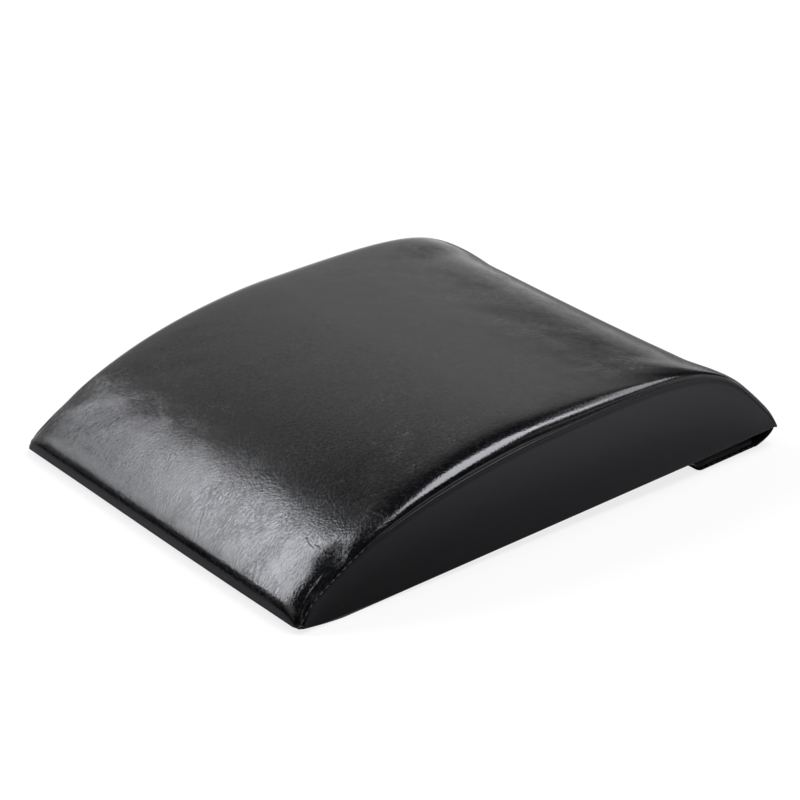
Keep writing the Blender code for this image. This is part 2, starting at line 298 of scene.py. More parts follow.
@dataclass(frozen=True)
class ClothRun:
    """A short cloth simulation of a cover that is held at its seams and pressed out by its foam."""

    pressure: float = 4.0
    frames: int = 20
    growth: float = 0.012
    stiffness: float = 15.0
    bending: float = 0.5

    def settled(self, points: np.ndarray, faces: list, held: np.ndarray) -> np.ndarray:
        """Run the simulation on a copy, and take it away again.

        Args:
            points: The cover's points, in metres in the world.
            faces: Its faces.
            held: How firmly each point is held, 0 to 1.

        Returns:
            The points where they have come to rest.
        """
        scene = bpy.context.scene
        cover = link_mesh("settling", points, faces)
        group = cover.vertex_groups.new(name="held")
        for index, weight in enumerate(held):
            if weight > 0:
                group.add([index], float(weight), "REPLACE")
        cloth = cover.modifiers.new("settle", "CLOTH")
        cloth.point_cache.frame_start, cloth.point_cache.frame_end = 1, self.frames
        cloth.collision_settings.use_collision = False
        settings = cloth.settings
        settings.use_pressure = True
        settings.uniform_pressure_force = self.pressure
        settings.effector_weights.gravity = 0
        settings.vertex_group_mass = group.name
        settings.tension_stiffness = settings.compression_stiffness = self.stiffness
        settings.bending_stiffness = self.bending
        settings.shrink_min = -self.growth
        for number in range(1, self.frames + 1):
            scene.frame_set(number)
        moved = cover.evaluated_get(bpy.context.evaluated_depsgraph_get()).to_mesh()
        rest = np.empty(3 * len(moved.vertices))
        moved.vertices.foreach_get("co", rest)
        mesh = cover.data
        bpy.data.objects.remove(cover, do_unlink=True)
        bpy.data.meshes.remove(mesh)
        scene.frame_set(1)
        return rest.reshape(-1, 3)


# ---------------------------------------------------------------- finishes


class Nodes:
    """Short ways to add and join a material's nodes."""

    def __init__(self, tree: bpy.types.NodeTree) -> None:
        """Keep the tree that nodes are added to."""
        self.tree = tree

    def add(self, kind: str, settings: dict | None = None, **inputs: object) -> bpy.types.Node:
        """Add a node.

        Args:
            kind: Its type.
            settings: Properties of the node.
            inputs: Values or sockets by input name, with _ for a space.

        Returns:
            The node.
        """
        node = self.tree.nodes.new(kind)
        for key, value in (settings or {}).items():
            setattr(node, key, value)
        self.fill(node, inputs)
        return node

    def fill(self, node: bpy.types.Node, inputs: dict[str, object]) -> None:
        """Set a node's inputs, named with _ for a space, to values or sockets."""
        for key, value in inputs.items():
            self.put(node.inputs[key.replace("_", " ")], value)

    def finish(self, **inputs: object) -> None:
        """Set inputs of the material's own shader, named with _ for a space, to values or sockets."""
        self.fill(self.tree.nodes["Principled BSDF"], inputs)

    def place(self) -> Socket:
        """Place on the piece."""
        return self.add("ShaderNodeTexCoord").outputs["Object"]

    def put(self, socket: Socket, value: object) -> None:
        """Set a socket to a value, or link it from another socket."""
        if isinstance(value, Socket):
            self.tree.links.new(value, socket)
        else:
            socket.default_value = value

    def maths(self, operation: str, first: object, second: object = 0.0) -> Socket:
        """One sum of two values.

        Args:
            operation: Name of the sum.
            first: A value or socket.
            second: A value or socket.

        Returns:
            The result's socket.
        """
        node = self.add("ShaderNodeMath", {"operation": operation})
        self.put(node.inputs[0], first)
        self.put(node.inputs[1], second)
        return node.outputs[0]

    def ranged(self, value: object, low: float, high: float, to_low: float, to_high: float) -> Socket:
        """A value moved smoothly from one range to another.

        Args:
            value: The socket to move.
            low: Start of its range.
            high: End of its range.
            to_low: What the start becomes.
            to_high: What the end becomes.

        Returns:
            The result's socket.
        """
        node = self.add("ShaderNodeMapRange", {"interpolation_type": "SMOOTHSTEP"})
        for index, entry in enumerate((value, low, high, to_low, to_high)):
            self.put(node.inputs[index], entry)
        return node.outputs[0]

    def vector(self, operation: str, *values: object, **inputs: object) -> Socket:
        """One sum of vectors.

        Args:
            operation: Name of the sum.
            values: Vectors or sockets, in the node's order.
            inputs: More values or sockets, by input name.

        Returns:
            The result's socket.
        """
        node = self.add("ShaderNodeVectorMath", {"operation": operation}, **inputs)
        for index, value in enumerate(values):
            self.put(node.inputs[index], value)
        return node.outputs["Value" if operation in VALUE_SUMS else "Vector"]

    def noise(
        self, place: object, size: float, detail: float, output: str = "Fac", **inputs: object
    ) -> Socket:
        """A cloudy pattern.

        Args:
            place: Where it is read.
            size: How large its clouds are.
            detail: How many finer layers lie in them.
            output: Which output is wanted.
            inputs: More values or sockets, by input name.

        Returns:
            That output's socket.
        """
        node = self.add("ShaderNodeTexNoise", Vector=place, Scale=1 / size, Detail=detail, **inputs)
        return node.outputs[output]

    def bump(self, height: object, depth: float, **inputs: object) -> Socket:
        """The surface's direction, tilted by a relief.

        Args:
            height: Height of the relief, 0 to 1.
            depth: How deep it is in metres.
            inputs: More values or sockets, by input name.

        Returns:
            The direction's socket.
        """
        return self.add("ShaderNodeBump", Height=height, Distance=depth, Strength=1.0, **inputs).outputs[0]

    def mixed(self, share: object, first: object, second: object) -> Socket:
        """A mix of two colours.

        Args:
            share: How much of the second.
            first: A colour of three values, or a socket.
            second: A colour of three values.

        Returns:
            The mix's socket.
        """
        node = self.add("ShaderNodeMix", {"data_type": "RGBA"}, Factor=share)
        for index, colour in ((6, first), (7, second)):
            self.put(node.inputs[index], (*colour, 1.0) if isinstance(colour, tuple) else colour)
        return node.outputs[2]


def new_material(name: str, bare: bool = False) -> tuple[bpy.types.Material, Nodes]:
    """Start a material.

    Args:
        name: Its name.
        bare: Whether its tree starts without any node.

    Returns:
        The material, and its nodes.
    """
    made = bpy.data.materials.new(name)
    made.use_nodes = True
    if bare:
        made.node_tree.nodes.clear()
    return made, Nodes(made.node_tree)


@dataclass(frozen=True)
class Crease:
    """One longer crease, from one place on the cover to another."""

    start: Triple
    end: Triple
    share: float = 1.0


@dataclass(frozen=True)
class VinylFinish:
    """Leather-look vinyl: a fine pebbled grain, short wrinkles, a few longer creases, soft wear, and lighter specks in
    its colour that are painted glints of the grain.
    """

    name: str
    colour: Triple
    worn_colour: Triple
    roughness: float
    roughness_spread: float
    specular: float
    grain_size: float
    grain_depth: float
    wrinkle_depth: float
    wrinkle_width: float = 1.15 * MM
    wrinkle_length: float = 4.2 * MM
    wrinkle_swirl: float = 16 * MM
    wrinkle_least: float = 0.55
    creases: tuple[Crease, ...] = ()
    crease_width: float = 1.0 * MM
    crease_depth: float = 0.07 * MM
    painted_glint_colour: Triple = (0.0075, 0.0075, 0.008)
    painted_glint_size: float = 1.9 * MM
    taut_from: float = 0.112
    taut_to: float = 0.128
    taut_behind: float = -0.105
    taut_fade: float = 15 * MM
    taut_least: float = 0.1
    swirl_size: float = 26 * MM
    ridge_width: float = 0.10
    patch_size: float = 30 * MM
    patch_range: tuple[float, float] = (0.38, 0.66)
    rub_size: float = 55 * MM
    rub_range: tuple[float, float] = (0.3, 0.7)
    worn_range: tuple[float, float] = (0.35, 0.75)
    painted_glint_range: tuple[float, float] = (0.45, 0.75)
    waver_size: float = 7 * MM
    waver: float = 3 * MM

    def build(self) -> bpy.types.Material:
        """Make the material.

        Returns:
            The material.
        """
        made, nodes = new_material(self.name)
        place = nodes.place()
        pebbles = nodes.add("ShaderNodeTexVoronoi", {"feature": "SMOOTH_F1"}, Vector=place, Scale=1 / self.grain_size)
        grain = nodes.maths("SUBTRACT", nodes.noise(place, self.grain_size, 3.0), pebbles.outputs["Distance"])
        normal = nodes.bump(grain, self.grain_depth)
        normal = nodes.bump(self.wrinkled(nodes, place), self.wrinkle_depth, Normal=normal)
        if self.creases:
            normal = nodes.bump(self.creased(nodes, place), self.crease_depth, Normal=normal)
        rubbed = nodes.noise(place, self.rub_size, 4.0, Roughness=0.6)
        smoothest, roughest = self.roughness - self.roughness_spread, self.roughness + self.roughness_spread
        rough = nodes.ranged(rubbed, *self.rub_range, smoothest, roughest)
        tint = nodes.mixed(nodes.ranged(rubbed, *self.worn_range, 0.0, 1.0), self.colour, self.worn_colour)
        # painted glints: lighter specks in the colour stand in for tiny highlights on the pebbled grain
        painted_glints = nodes.ranged(nodes.noise(place, self.painted_glint_size, 2.0), *self.painted_glint_range, 0.0, 1.0)
        glint_tint = nodes.mixed(painted_glints, tint, self.painted_glint_colour)
        nodes.finish(Base_Color=glint_tint, Roughness=rough, Normal=normal, Specular_IOR_Level=self.specular)
        return made

    def wrinkled(self, nodes: Nodes, place: Socket) -> Socket:
        """Height of the short wrinkles, which fade where the cover is taut: by the seams and behind the nose.

        Args:
            nodes: The material's nodes.
            place: Place on the cover.

        Returns:
            The height's socket.
        """
        swirl = nodes.noise(place, self.swirl_size, 1.0, "Color")
        drift = nodes.vector("MULTIPLY_ADD", swirl, (self.wrinkle_swirl,) * 3, place)
        finer = (1 / self.wrinkle_width, 1 / self.wrinkle_length, 1 / self.wrinkle_length)
        waves = nodes.noise(nodes.vector("MULTIPLY", drift, finer), 1.0, 2.0, Roughness=0.55, Distortion=0.7)
        ridge = nodes.maths("ABSOLUTE", nodes.maths("SUBTRACT", waves, 0.5))
        line = nodes.ranged(ridge, 0.0, self.ridge_width, 0.0, 1.0)
        patch = nodes.ranged(nodes.noise(place, self.patch_size, 2.0), *self.patch_range, self.wrinkle_least, 1.0)
        parts = nodes.add("ShaderNodeSeparateXYZ", Vector=place).outputs
        aside = nodes.maths("ABSOLUTE", parts["X"])
        by_seam = nodes.ranged(aside, self.taut_from, self.taut_to, 1.0, self.taut_least)
        by_nose = nodes.ranged(parts["Y"], self.taut_behind - self.taut_fade, self.taut_behind, 1.0, 0.0)
        slack = nodes.maths("MAXIMUM", by_seam, by_nose)
        return nodes.maths("MULTIPLY", nodes.maths("MULTIPLY", line, patch), slack)

    def creased(self, nodes: Nodes, place: Socket) -> Socket:
        """Height of the longer creases.

        Args:
            nodes: The material's nodes.
            place: Place on the cover.

        Returns:
            The height's socket, 0 away from them.
        """
        waver = nodes.noise(place, self.waver_size, 1.0, "Color")
        drift = nodes.vector("MULTIPLY_ADD", waver, (self.waver,) * 3, place)
        mean_waver = Vector((self.waver,) * 3) / 2
        lines: Socket | float = 0.0
        for crease in self.creases:
            start, span = Vector(crease.start) * MM, (Vector(crease.end) - Vector(crease.start)) * MM
            ahead = nodes.vector("SUBTRACT", drift, tuple(start + mean_waver))
            along = nodes.vector("DOT_PRODUCT", ahead, tuple(span / span.length_squared))
            held = nodes.add("ShaderNodeClamp", Value=along).outputs[0]
            gap = nodes.vector("DISTANCE", ahead, nodes.vector("SCALE", tuple(span), Scale=held))
            lines = nodes.maths("ADD", nodes.ranged(gap, 0.0, self.crease_width, crease.share, 0.0), lines)
        return lines


@dataclass(frozen=True)
class WovenFinish:
    """Plain-woven backing fabric, painted lighter on its raised threads and darker in its hollows."""

    name: str
    colour: Triple
    painted_lit_colour: Triple
    thread: float
    roughness: float = 0.75
    specular: float = 0.25
    fuzz: float = 0.6
    fuzz_size: float = 0.7 * MM
    depth: float = 0.12 * MM
    painted_lit_range: tuple[float, float] = (-0.6, 1.4)

    def build(self) -> bpy.types.Material:
        """Make the material.

        Returns:
            The material.
        """
        made, nodes = new_material(self.name)
        place = nodes.place()
        parts = nodes.add("ShaderNodeSeparateXYZ", Vector=place).outputs
        across = nodes.maths("SINE", nodes.maths("MULTIPLY", parts["X"], math.pi / self.thread))
        along_place = nodes.maths("ADD", parts["Y"], parts["Z"])
        along = nodes.maths("SINE", nodes.maths("MULTIPLY", along_place, math.pi / self.thread))
        fuzz = nodes.maths("MULTIPLY", nodes.noise(place, self.fuzz_size, 3.0), self.fuzz)
        height = nodes.maths("ADD", nodes.maths("MULTIPLY", across, along), fuzz)
        # painted light and shade: the tone follows the weave's relief, lighter where it is raised
        tint = nodes.mixed(nodes.ranged(height, *self.painted_lit_range, 0.0, 1.0), self.colour, self.painted_lit_colour)
        normal = nodes.bump(height, self.depth)
        nodes.finish(Base_Color=tint, Normal=normal, Roughness=self.roughness, Specular_IOR_Level=self.specular)
        return made


@dataclass(frozen=True)
class ThreadFinish:
    """Twisted sewing thread, painted darker in the grooves between its plies."""

    name: str
    colour: Triple
    twist: float = 0.45 * MM
    depth: float = 0.08 * MM
    shade: float = 0.6
    roughness: float = 0.5

    def build(self) -> bpy.types.Material:
        """Make the material.

        Returns:
            The material.
        """
        made, nodes = new_material(self.name)
        plies = nodes.add(
            "ShaderNodeTexWave", {"bands_direction": "DIAGONAL"},
            Vector=nodes.place(), Scale=0.1 / self.twist, Distortion=1.5,
        ).outputs["Fac"]
        # painted shade: the grooves between the plies are darker
        tint = nodes.mixed(plies, tuple(share * self.shade for share in self.colour), self.colour)
        nodes.finish(Base_Color=tint, Normal=nodes.bump(plies, self.depth), Roughness=self.roughness)
        return made


@dataclass(frozen=True)
class FoamFinish:
    """Cut foam with open cells, painted darker in their hollows."""

    name: str
    colour: Triple
    cell_shade_colour: Triple
    cell: float
    depth: float = 0.35 * MM
    clump_size: float = 14 * MM
    clump_range: tuple[float, float, float, float] = (0.2, 0.8, 0.8, 1.3)
    cell_range: tuple[float, float] = (0.1, 0.8)
    roughness: float = 0.95
    specular: float = 0.2

    def build(self) -> bpy.types.Material:
        """Make the material.

        Returns:
            The material.
        """
        made, nodes = new_material(self.name)
        place = nodes.place()
        cells = nodes.add("ShaderNodeTexVoronoi", Vector=place, Scale=1 / self.cell).outputs["Distance"]
        clumps = nodes.ranged(nodes.noise(place, self.clump_size, 3.0), *self.clump_range)
        filled = nodes.ranged(nodes.maths("MULTIPLY", cells, clumps), *self.cell_range, 0.0, 1.0)
        # painted shade: the cells' hollows are darker, by a random amount from clump to clump
        tint = nodes.mixed(filled, self.cell_shade_colour, self.colour)
        normal = nodes.bump(cells, self.depth)
        nodes.finish(Base_Color=tint, Normal=normal, Roughness=self.roughness, Specular_IOR_Level=self.specular)
        return made


TOP_CREASES = (
    Crease((26.7, -141.1, 43.2), (18.8, -115.5, 53.6), -0.8),
    Crease((39.2, -186.1, 16.8), (25.7, -170.7, 27.4), -0.9),
    Crease((93.2, -177.0, 22.8), (98.8, -186.8, 14.7), -1.0),
    Crease((103.6, -156.5, 34.8), (111.8, -158.9, 33.2), 1.0),
    Crease((112.3, -157.1, 34.1), (122.3, -157.1, 32.8), 1.0),
    Crease((23.2, -158.7, 34.2), (20.3, -150.9, 38.4), 0.8),
    Crease((20.3, -150.9, 38.4), (32.0, -154.4, 36.5), 0.8),
)
TOP_VINYL = VinylFinish(
    "glossy black top vinyl", (0.0020, 0.0020, 0.0024), (0.0032, 0.0032, 0.0036), 0.145, 0.015, 0.5,
    grain_size=1.2 * MM, grain_depth=0.045 * MM, wrinkle_depth=0.030 * MM, creases=TOP_CREASES,
    painted_glint_colour=(0.013, 0.013, 0.0135),
)
SIDE_VINYL = VinylFinish(
    "satin black side vinyl", (0.0030, 0.0031, 0.0035), (0.0044, 0.0045, 0.0050), 0.21, 0.02, 0.42,
    grain_size=1.1 * MM, grain_depth=0.04 * MM, wrinkle_depth=0.010 * MM, wrinkle_least=0.2,
)
BASE_VINYL = VinylFinish(
    "matt black base vinyl", (0.009, 0.009, 0.0095), (0.014, 0.014, 0.0145), 0.6, 0.05, 0.4,
    grain_size=1.3 * MM, grain_depth=0.09 * MM, wrinkle_depth=0.02 * MM, wrinkle_least=0.1,
)
PAD_VINYL = VinylFinish(
    "black pad vinyl", (0.0024, 0.0024, 0.0028), (0.0036, 0.0036, 0.0040), 0.40, 0.03, 0.10,
    grain_size=0.9 * MM, grain_depth=0.04 * MM, wrinkle_depth=0.05 * MM,
)
SEWING_THREAD = ThreadFinish("black sewing thread", (0.036, 0.036, 0.039))
BACKING_FABRIC = WovenFinish("black backing fabric", (0.006, 0.006, 0.0065), (0.016, 0.016, 0.017), 0.7 * MM)
CORE_FOAM = FoamFinish("dark grey firm foam", (0.07, 0.071, 0.076), (0.02, 0.02, 0.022), 1.1 * MM)


# ---------------------------------------------------------------- the mat's shape


@dataclass(frozen=True)
class MatFrame:
    """The mat's own frame: X across, Y from the nose, Z up from the flat base; it leans on the folded pad."""

    lean: float = math.radians(2.0525)
    shift: Triple = (0.0, -0.189482, -0.001212)

    def to_world(self, points: np.ndarray) -> np.ndarray:
        """Move points from the mat's frame to the world.

        Args:
            points: Points in the last axis.

        Returns:
            The same points in the world.
        """
        turn = np.array(Matrix.Rotation(self.lean, 3, "X"))
        return points @ turn.T + np.array(self.shift)

    def to_mat(self, points: np.ndarray) -> np.ndarray:
        """Move points from the world to the mat's frame.

        Args:
            points: Points in the last axis.

        Returns:
            The same points in the mat's frame.
        """
        turn = np.array(Matrix.Rotation(self.lean, 3, "X"))
        return (points - np.array(self.shift)) @ turn


@dataclass(frozen=True)
class Outline:
    """The arched top outline in the mat's YZ plane, with the sizes that follow it."""

    length: float = 0.380
    width: float = 0.278
    crest_height: float = 0.0684
    crest_from_nose: float = 0.182
    nose_edge_height: float = 0.0049
    tail_edge_height: float = 0.0004
    nose_slope: float = math.radians(53.5)
    tail_slope: float = math.radians(53.0)
    nose_pull_share: float = 0.31
    crest_front_pull_share: float = 0.26
    crest_rear_pull_share: float = 0.755
    tail_pull_share: float = 0.33
    nose_lift: float = 0.0045
    nose_lift_length: float = 0.034
    lift_bend: float = 1.4
    tail_lift: float = 0.0006
    flat_end: float = 0.3089
    side_draw: float = 0.0028
    side_draw_height: float = 0.020
    samples: int = 900
    nose_corner: float = 0.0052
    tail_corner: float = 0.001
    tail_bulge: float = 0.0016
    tail_bulge_from: float = 0.354
    tail_bulge_rise: float = 0.020
    tail_bulge_fall: float = 2.5
    tail_bulge_thinned: float = 0.5

    def cornered(self, points: np.ndarray) -> np.ndarray:
        """Points with the mat's four corners rounded in plan.

        Args:
            points: Points in the mat's frame, in the last axis.

        Returns:
            The moved points.
        """
        moved = np.array(points, dtype=float)
        for edge, inward, radius in ((0.0, 1, self.nose_corner), (self.length, -1, self.tail_corner)):
            u = (np.abs(moved[..., 0]) - (self.width / 2 - radius)) / radius
            v = (radius - inward * (moved[..., 1] - edge)) / radius
            near = (u > 0) & (v > 0)
            across, along = np.clip(u, 0, 1), np.clip(v, 0, 1)
            side = np.sign(moved[..., 0])
            shift_x = (across * np.sqrt(1 - along**2 / 2) - across) * radius * side
            shift_y = -inward * (along * np.sqrt(1 - across**2 / 2) - along) * radius
            moved[..., 0] += np.where(near, shift_x, 0.0)
            moved[..., 1] += np.where(near, shift_y, 0.0)
        return moved

    def points(self) -> np.ndarray:
        """The outline from the nose over the crest to the tail.

        Returns:
            Points in Y and Z.
        """
        rise, fall = self.crest_from_nose, self.length - self.crest_from_nose
        nose = np.array([0.0, self.nose_edge_height])
        tail = np.array([self.length, self.tail_edge_height])
        crest = np.array([self.crest_from_nose, self.crest_height])
        nose_way = np.array([math.cos(self.nose_slope), math.sin(self.nose_slope)])
        tail_way = np.array([-math.cos(self.tail_slope), math.sin(self.tail_slope)])
        level = np.array([1.0, 0.0])
        nose_pull = nose + nose_way * self.nose_pull_share * rise
        front_pull = crest - level * self.crest_front_pull_share * rise
        rear_pull = crest + level * self.crest_rear_pull_share * fall
        tail_pull = tail + tail_way * self.tail_pull_share * fall
        front = cubic(nose, nose_pull, front_pull, crest, self.samples)
        line = np.concatenate([front, cubic(crest, rear_pull, tail_pull, tail, self.samples)[1:]])
        way = unit(np.gradient(line, axis=0))
        full = smoothstep((line[:, 0] - self.tail_bulge_from) / self.tail_bulge_rise)
        thinned = smoothstep((line[:, 0] - self.length) / self.tail_bulge_rise * self.tail_bulge_fall + 1)
        full *= 1 - self.tail_bulge_thinned * thinned
        return line + np.stack([-way[:, 1], way[:, 0]], axis=-1) * self.tail_bulge * full[:, None]

    def base_height(self, y: np.ndarray) -> np.ndarray:
        """Height of the base's underside above its flat part."""
        nose = np.maximum(0.0, 1 - y / self.nose_lift_length)
        tail = np.clip((y - self.flat_end) / (self.length - self.flat_end), 0.0, 1.0)
        return self.nose_lift * nose**self.lift_bend + self.tail_lift * tail

    def half_width(self, z: np.ndarray) -> np.ndarray:
        """Half the width at the side seam, at that height of the outline."""
        return self.width / 2 - self.side_draw * smoothstep(z / self.side_draw_height)


MAT = MatFrame()
OUTLINE = Outline()


def closed_skin(first: np.ndarray, second: np.ndarray) -> tuple[np.ndarray, list]:
    """One closed skin from two grids of the same size.

    Args:
        first: One face's points by row and column, in the mat's frame.
        second: The other face's points.

    Returns:
        World points, and faces.
    """
    rows, columns = first.shape[:2]
    count = rows * columns
    faces = grid_faces(rows, columns)
    faces += [tuple(corner + count for corner in quad[::-1]) for quad in faces]
    last = (rows - 1) * columns
    border = list(range(columns))
    border += [row * columns + columns - 1 for row in range(1, rows)]
    border += list(range(last + columns - 2, last - 1, -1))
    border += [row * columns for row in range(rows - 2, 0, -1)]
    for here, there in zip(border, border[1:] + border[:1]):
        faces.append((here, there, there + count, here + count))
    return MAT.to_world(OUTLINE.cornered(np.concatenate([first.reshape(-1, 3), second.reshape(-1, 3)]))), faces


@dataclass
class Rows:
    """Places along the cover, from under the nose to under the tail."""

    y: np.ndarray
    z: np.ndarray
    normal: np.ndarray
    share: np.ndarray
    from_nose: np.ndarray
    from_tail: np.ndarray

    def pushed(self, x: np.ndarray, out: np.ndarray) -> np.ndarray:
        """Points at x, moved outward from the outline.

        Args:
            x: Places across, one row of them for each place along.
            out: How far outward each lies.

        Returns:
            Points in the mat's frame.
        """
        y = self.y[:, None] + self.normal[:, 0:1] * out
        z = self.z[:, None] + self.normal[:, 1:2] * out
        return np.stack([np.broadcast_to(x, y.shape), y, z], axis=-1)


@dataclass
class TopCover:
    """The one top panel over its foam: rolls along both sides, a swollen nose, and both ends turned under.

    Pairs give a share of the way from nose to tail, and millimetres, degrees or a share there. Those of fold_in are
    millimetres from the nose, and millimetres in from the seam.
    """

    name: str = "top_cover_padded"
    nose_tuck: float = 4.2 * MM
    tail_tuck: float = 3.6 * MM
    tuck_spacing: float = 0.5 * MM
    edge_spacing: float = 0.4 * MM
    nose_spacing: float = 1.2 * MM
    arch_spacing: float = 2.4 * MM
    edge_reach: float = 7 * MM
    nose_reach: float = 70 * MM
    tail_reach: float = 45 * MM
    nose_rounding: float = 0.45 * MM
    tail_rounding: float = 0.8 * MM
    rounding_reach: float = 7 * MM
    tail_edge_share: float = 1.26
    tail_hang: float = 0.9 * MM
    tail_hang_width: float = 4.5 * MM

    roll_drops: Pairs = (
        (0.0, 0.7), (0.03, 1.5), (0.06, 2.5), (0.09, 3.5), (0.12, 3.5), (0.15, 3.9), (0.2, 5.0), (0.3, 6.9), (0.4, 7.9),
        (0.5, 6.9), (0.6, 5.0), (0.7, 2.8), (0.8, 0.9), (0.87, 0.5), (0.94, 0.5), (1.0, 0.5),
    )
    roll_rises: Pairs = (
        (0.0, 0.0), (0.55, 0.0), (0.65, 0.2), (0.75, 0.9), (0.85, 1.5), (0.93, 2.1), (0.98, 1.4), (1.0, 0.6),
    )
    rise_width: float = 0.21
    roll_tilts: Pairs = (
        (0.0, 42), (0.03, 38), (0.07, 32), (0.105, 32), (0.122, 56), (0.14, 66), (0.6, 64), (0.72, 62), (0.8, 57),
        (0.87, 50), (1.0, 50),
    )
    left_tilts: Pairs = ((0.0, 66), (0.6, 64), (0.72, 62), (0.8, 57), (0.87, 50), (1.0, 50))
    left_shares: Pairs = (
        (0.0, 1.0), (0.12, 0.95), (0.25, 0.7), (0.4, 0.72), (0.52, 0.85), (0.65, 1.0), (1.0, 1.0),
    )
    roll_reach: float = 5.5
    roll_columns: int = 26
    roll_bunching: float = 1.5
    roll_samples: int = 1200
    lip_radius: float = 0.7 * MM
    lip_columns: int = 5
    flat_columns: int = 150
    flat_bunching: float = 0.72

    crowns: Pairs = (
        (0.0, 0.8), (0.2, 1.0), (0.4, 0.7), (0.55, 0.2), (0.7, -0.8), (0.82, -1.5), (0.9, -1.4), (0.96, -0.5),
        (1.0, 0.0),
    )
    crown_skew: float = 0.5
    nose_fullness: float = 4.2 * MM
    nose_fullness_at: float = 10 * MM
    tail_fullness: float = 1.0 * MM
    tail_fullness_at: float = 14 * MM
    corner_pinch: float = 22

    fold_height: float = 0.36 * MM
    fold_in: Pairs = (
        (0.0, 1.4), (13.0, 1.7), (16.5, 2.2), (22.5, 3.1), (29.6, 3.7), (35.5, 4.5), (45.0, 5.9),
    )
    fold_width: float = 1.3 * MM
    fold_groove: float = 0.45
    fold_groove_away: float = 2
    fold_from: float = 6 * MM
    fold_rise: float = 6 * MM
    fold_to: float = 42 * MM
    fold_fall: float = 12 * MM
    dimple_depth: float = 1.0 * MM
    dimple_in: float = 7 * MM
    dimple_along: float = 48 * MM
    dimple_width: float = 6.5 * MM
    dimple_length: float = 8 * MM
    dimple_fade: float = 4 * MM

    cloth: ClothRun = ClothRun(growth=0.004)
    cloth_spacing: float = 5 * MM
    cloth_wide: float = 22 * MM
    cloth_soft: float = 2.6 * MM
    cloth_cap: float = 0.11 * MM
    cloth_share: float = 0.09
    cloth_clear: float = 26 * MM

    def rows(self) -> Rows:
        """Places along the cover, closest together where it turns.

        Returns:
            The rows.
        """
        points = OUTLINE.points()
        along = travelled(points)
        length = along[-1]
        tangents = unit(np.gradient(points, along, axis=0))
        places = graded([
            (0.0, 0.0), (self.edge_reach, self.edge_spacing), (self.nose_reach, self.nose_spacing),
            (length - self.tail_reach, self.arch_spacing), (length - self.edge_reach, self.nose_spacing),
            (length, self.edge_spacing),
        ])
        y, z, ty, tz = (np.interp(places, along, values) for values in (*points.T, *tangents.T))
        normal = unit(np.stack([-tz, ty], axis=-1))
        nose = self.under(0.0, OUTLINE.nose_edge_height, self.nose_tuck)
        tail = self.under(OUTLINE.length, OUTLINE.tail_edge_height, OUTLINE.length - self.tail_tuck)[::-1]
        turned = [self.facing(piece) for piece in (nose, tail)]
        return Rows(
            np.concatenate([nose[:, 0], y, tail[:, 0]]),
            np.concatenate([nose[:, 1], z, tail[:, 1]]),
            np.concatenate([turned[0], normal, turned[1]]),
            np.concatenate([np.zeros(len(nose)), places / length, np.ones(len(tail))]),
            np.concatenate([np.zeros(len(nose)), places, np.full(len(tail), length)]),
            np.concatenate([np.full(len(nose), length), length - places, np.zeros(len(tail))]),
        )

    def under(self, edge_y: float, edge_z: float, end_y: float) -> np.ndarray:
        """Points of the part turned under, from its end to just short of the edge.

        Args:
            edge_y: Where the edge is.
            edge_z: How high the edge is.
            end_y: Where the turned-under part ends, on the base.

        Returns:
            Points in Y and Z.
        """
        count = max(3, round(abs(end_y - edge_y) / self.tuck_spacing))
        t = np.linspace(1, 0, count, endpoint=False)[:, None]
        end = np.array([end_y, float(OUTLINE.base_height(np.array(end_y)))])
        return np.array([edge_y, edge_z]) * (1 - t) + end * t

    def facing(self, piece: np.ndarray) -> np.ndarray:
        """Outward normals of a turned-under part, which point down.

        Args:
            piece: Its points.

        Returns:
            One normal per point.
        """
        way = unit(piece[-1] - piece[0])
        normal = np.array([-way[1], way[0]])
        if normal[1] > 0:
            normal = -normal
        return np.repeat(normal[None], len(piece), axis=0)

    def drop(self, share: np.ndarray, side: Side) -> np.ndarray:
        """How far below the outline that side's seam lies."""
        lowered = through(self.roll_drops, share) * MM
        return lowered * through(self.left_shares, share) if side is Side.LEFT else lowered

    def rise(self, share: np.ndarray) -> np.ndarray:
        """How far above the outline the top of each roll lies."""
        return np.maximum(through(self.roll_rises, share), 0.0) * MM

    def roll_curve(self, steepest: np.ndarray) -> tuple[np.ndarray, np.ndarray]:
        """One roll of unit size per row, from its seam inward: its tilt dies away evenly.

        Args:
            steepest: Tilt at the seam, one per row.

        Returns:
            How far in, and how far up, each column of each row lies.
        """
        fine = np.linspace(0, self.roll_reach, self.roll_samples)
        tilt = steepest[:, None] * np.exp(-fine)[None]
        middle_tilt = (tilt[:, 1:] + tilt[:, :-1]) / 2
        step = fine[1] - fine[0]
        start = np.zeros((len(steepest), 1))
        inward = np.concatenate([start, np.cumsum(np.cos(middle_tilt), axis=1) * step], axis=1)
        upward = np.concatenate([start, np.cumsum(np.sin(middle_tilt), axis=1) * step], axis=1)
        columns = self.roll_reach * np.linspace(0, 1, self.roll_columns) ** self.roll_bunching
        picked = np.clip(np.searchsorted(fine, columns), 0, self.roll_samples - 1)
        return inward[:, picked], upward[:, picked]

    def fullness(self, rows: Rows, across: np.ndarray) -> np.ndarray:
        """Outward push of the foam, none at the side seams.

        Args:
            rows: Places along.
            across: Share of the half width, one row of shares for each place along.

        Returns:
            The push at each point.
        """
        nose = (rows.from_nose / self.nose_fullness_at)[:, None]
        tail = (rows.from_tail / self.tail_fullness_at)[:, None]
        swell = self.nose_fullness * nose * np.exp(1 - nose) + self.tail_fullness * tail * np.exp(1 - tail)
        crown = through(self.crowns, rows.share)[:, None] * MM * (1 - across**2) * (1 + self.crown_skew * across)
        return swell * (1 - np.abs(across) ** self.corner_pinch) + crown

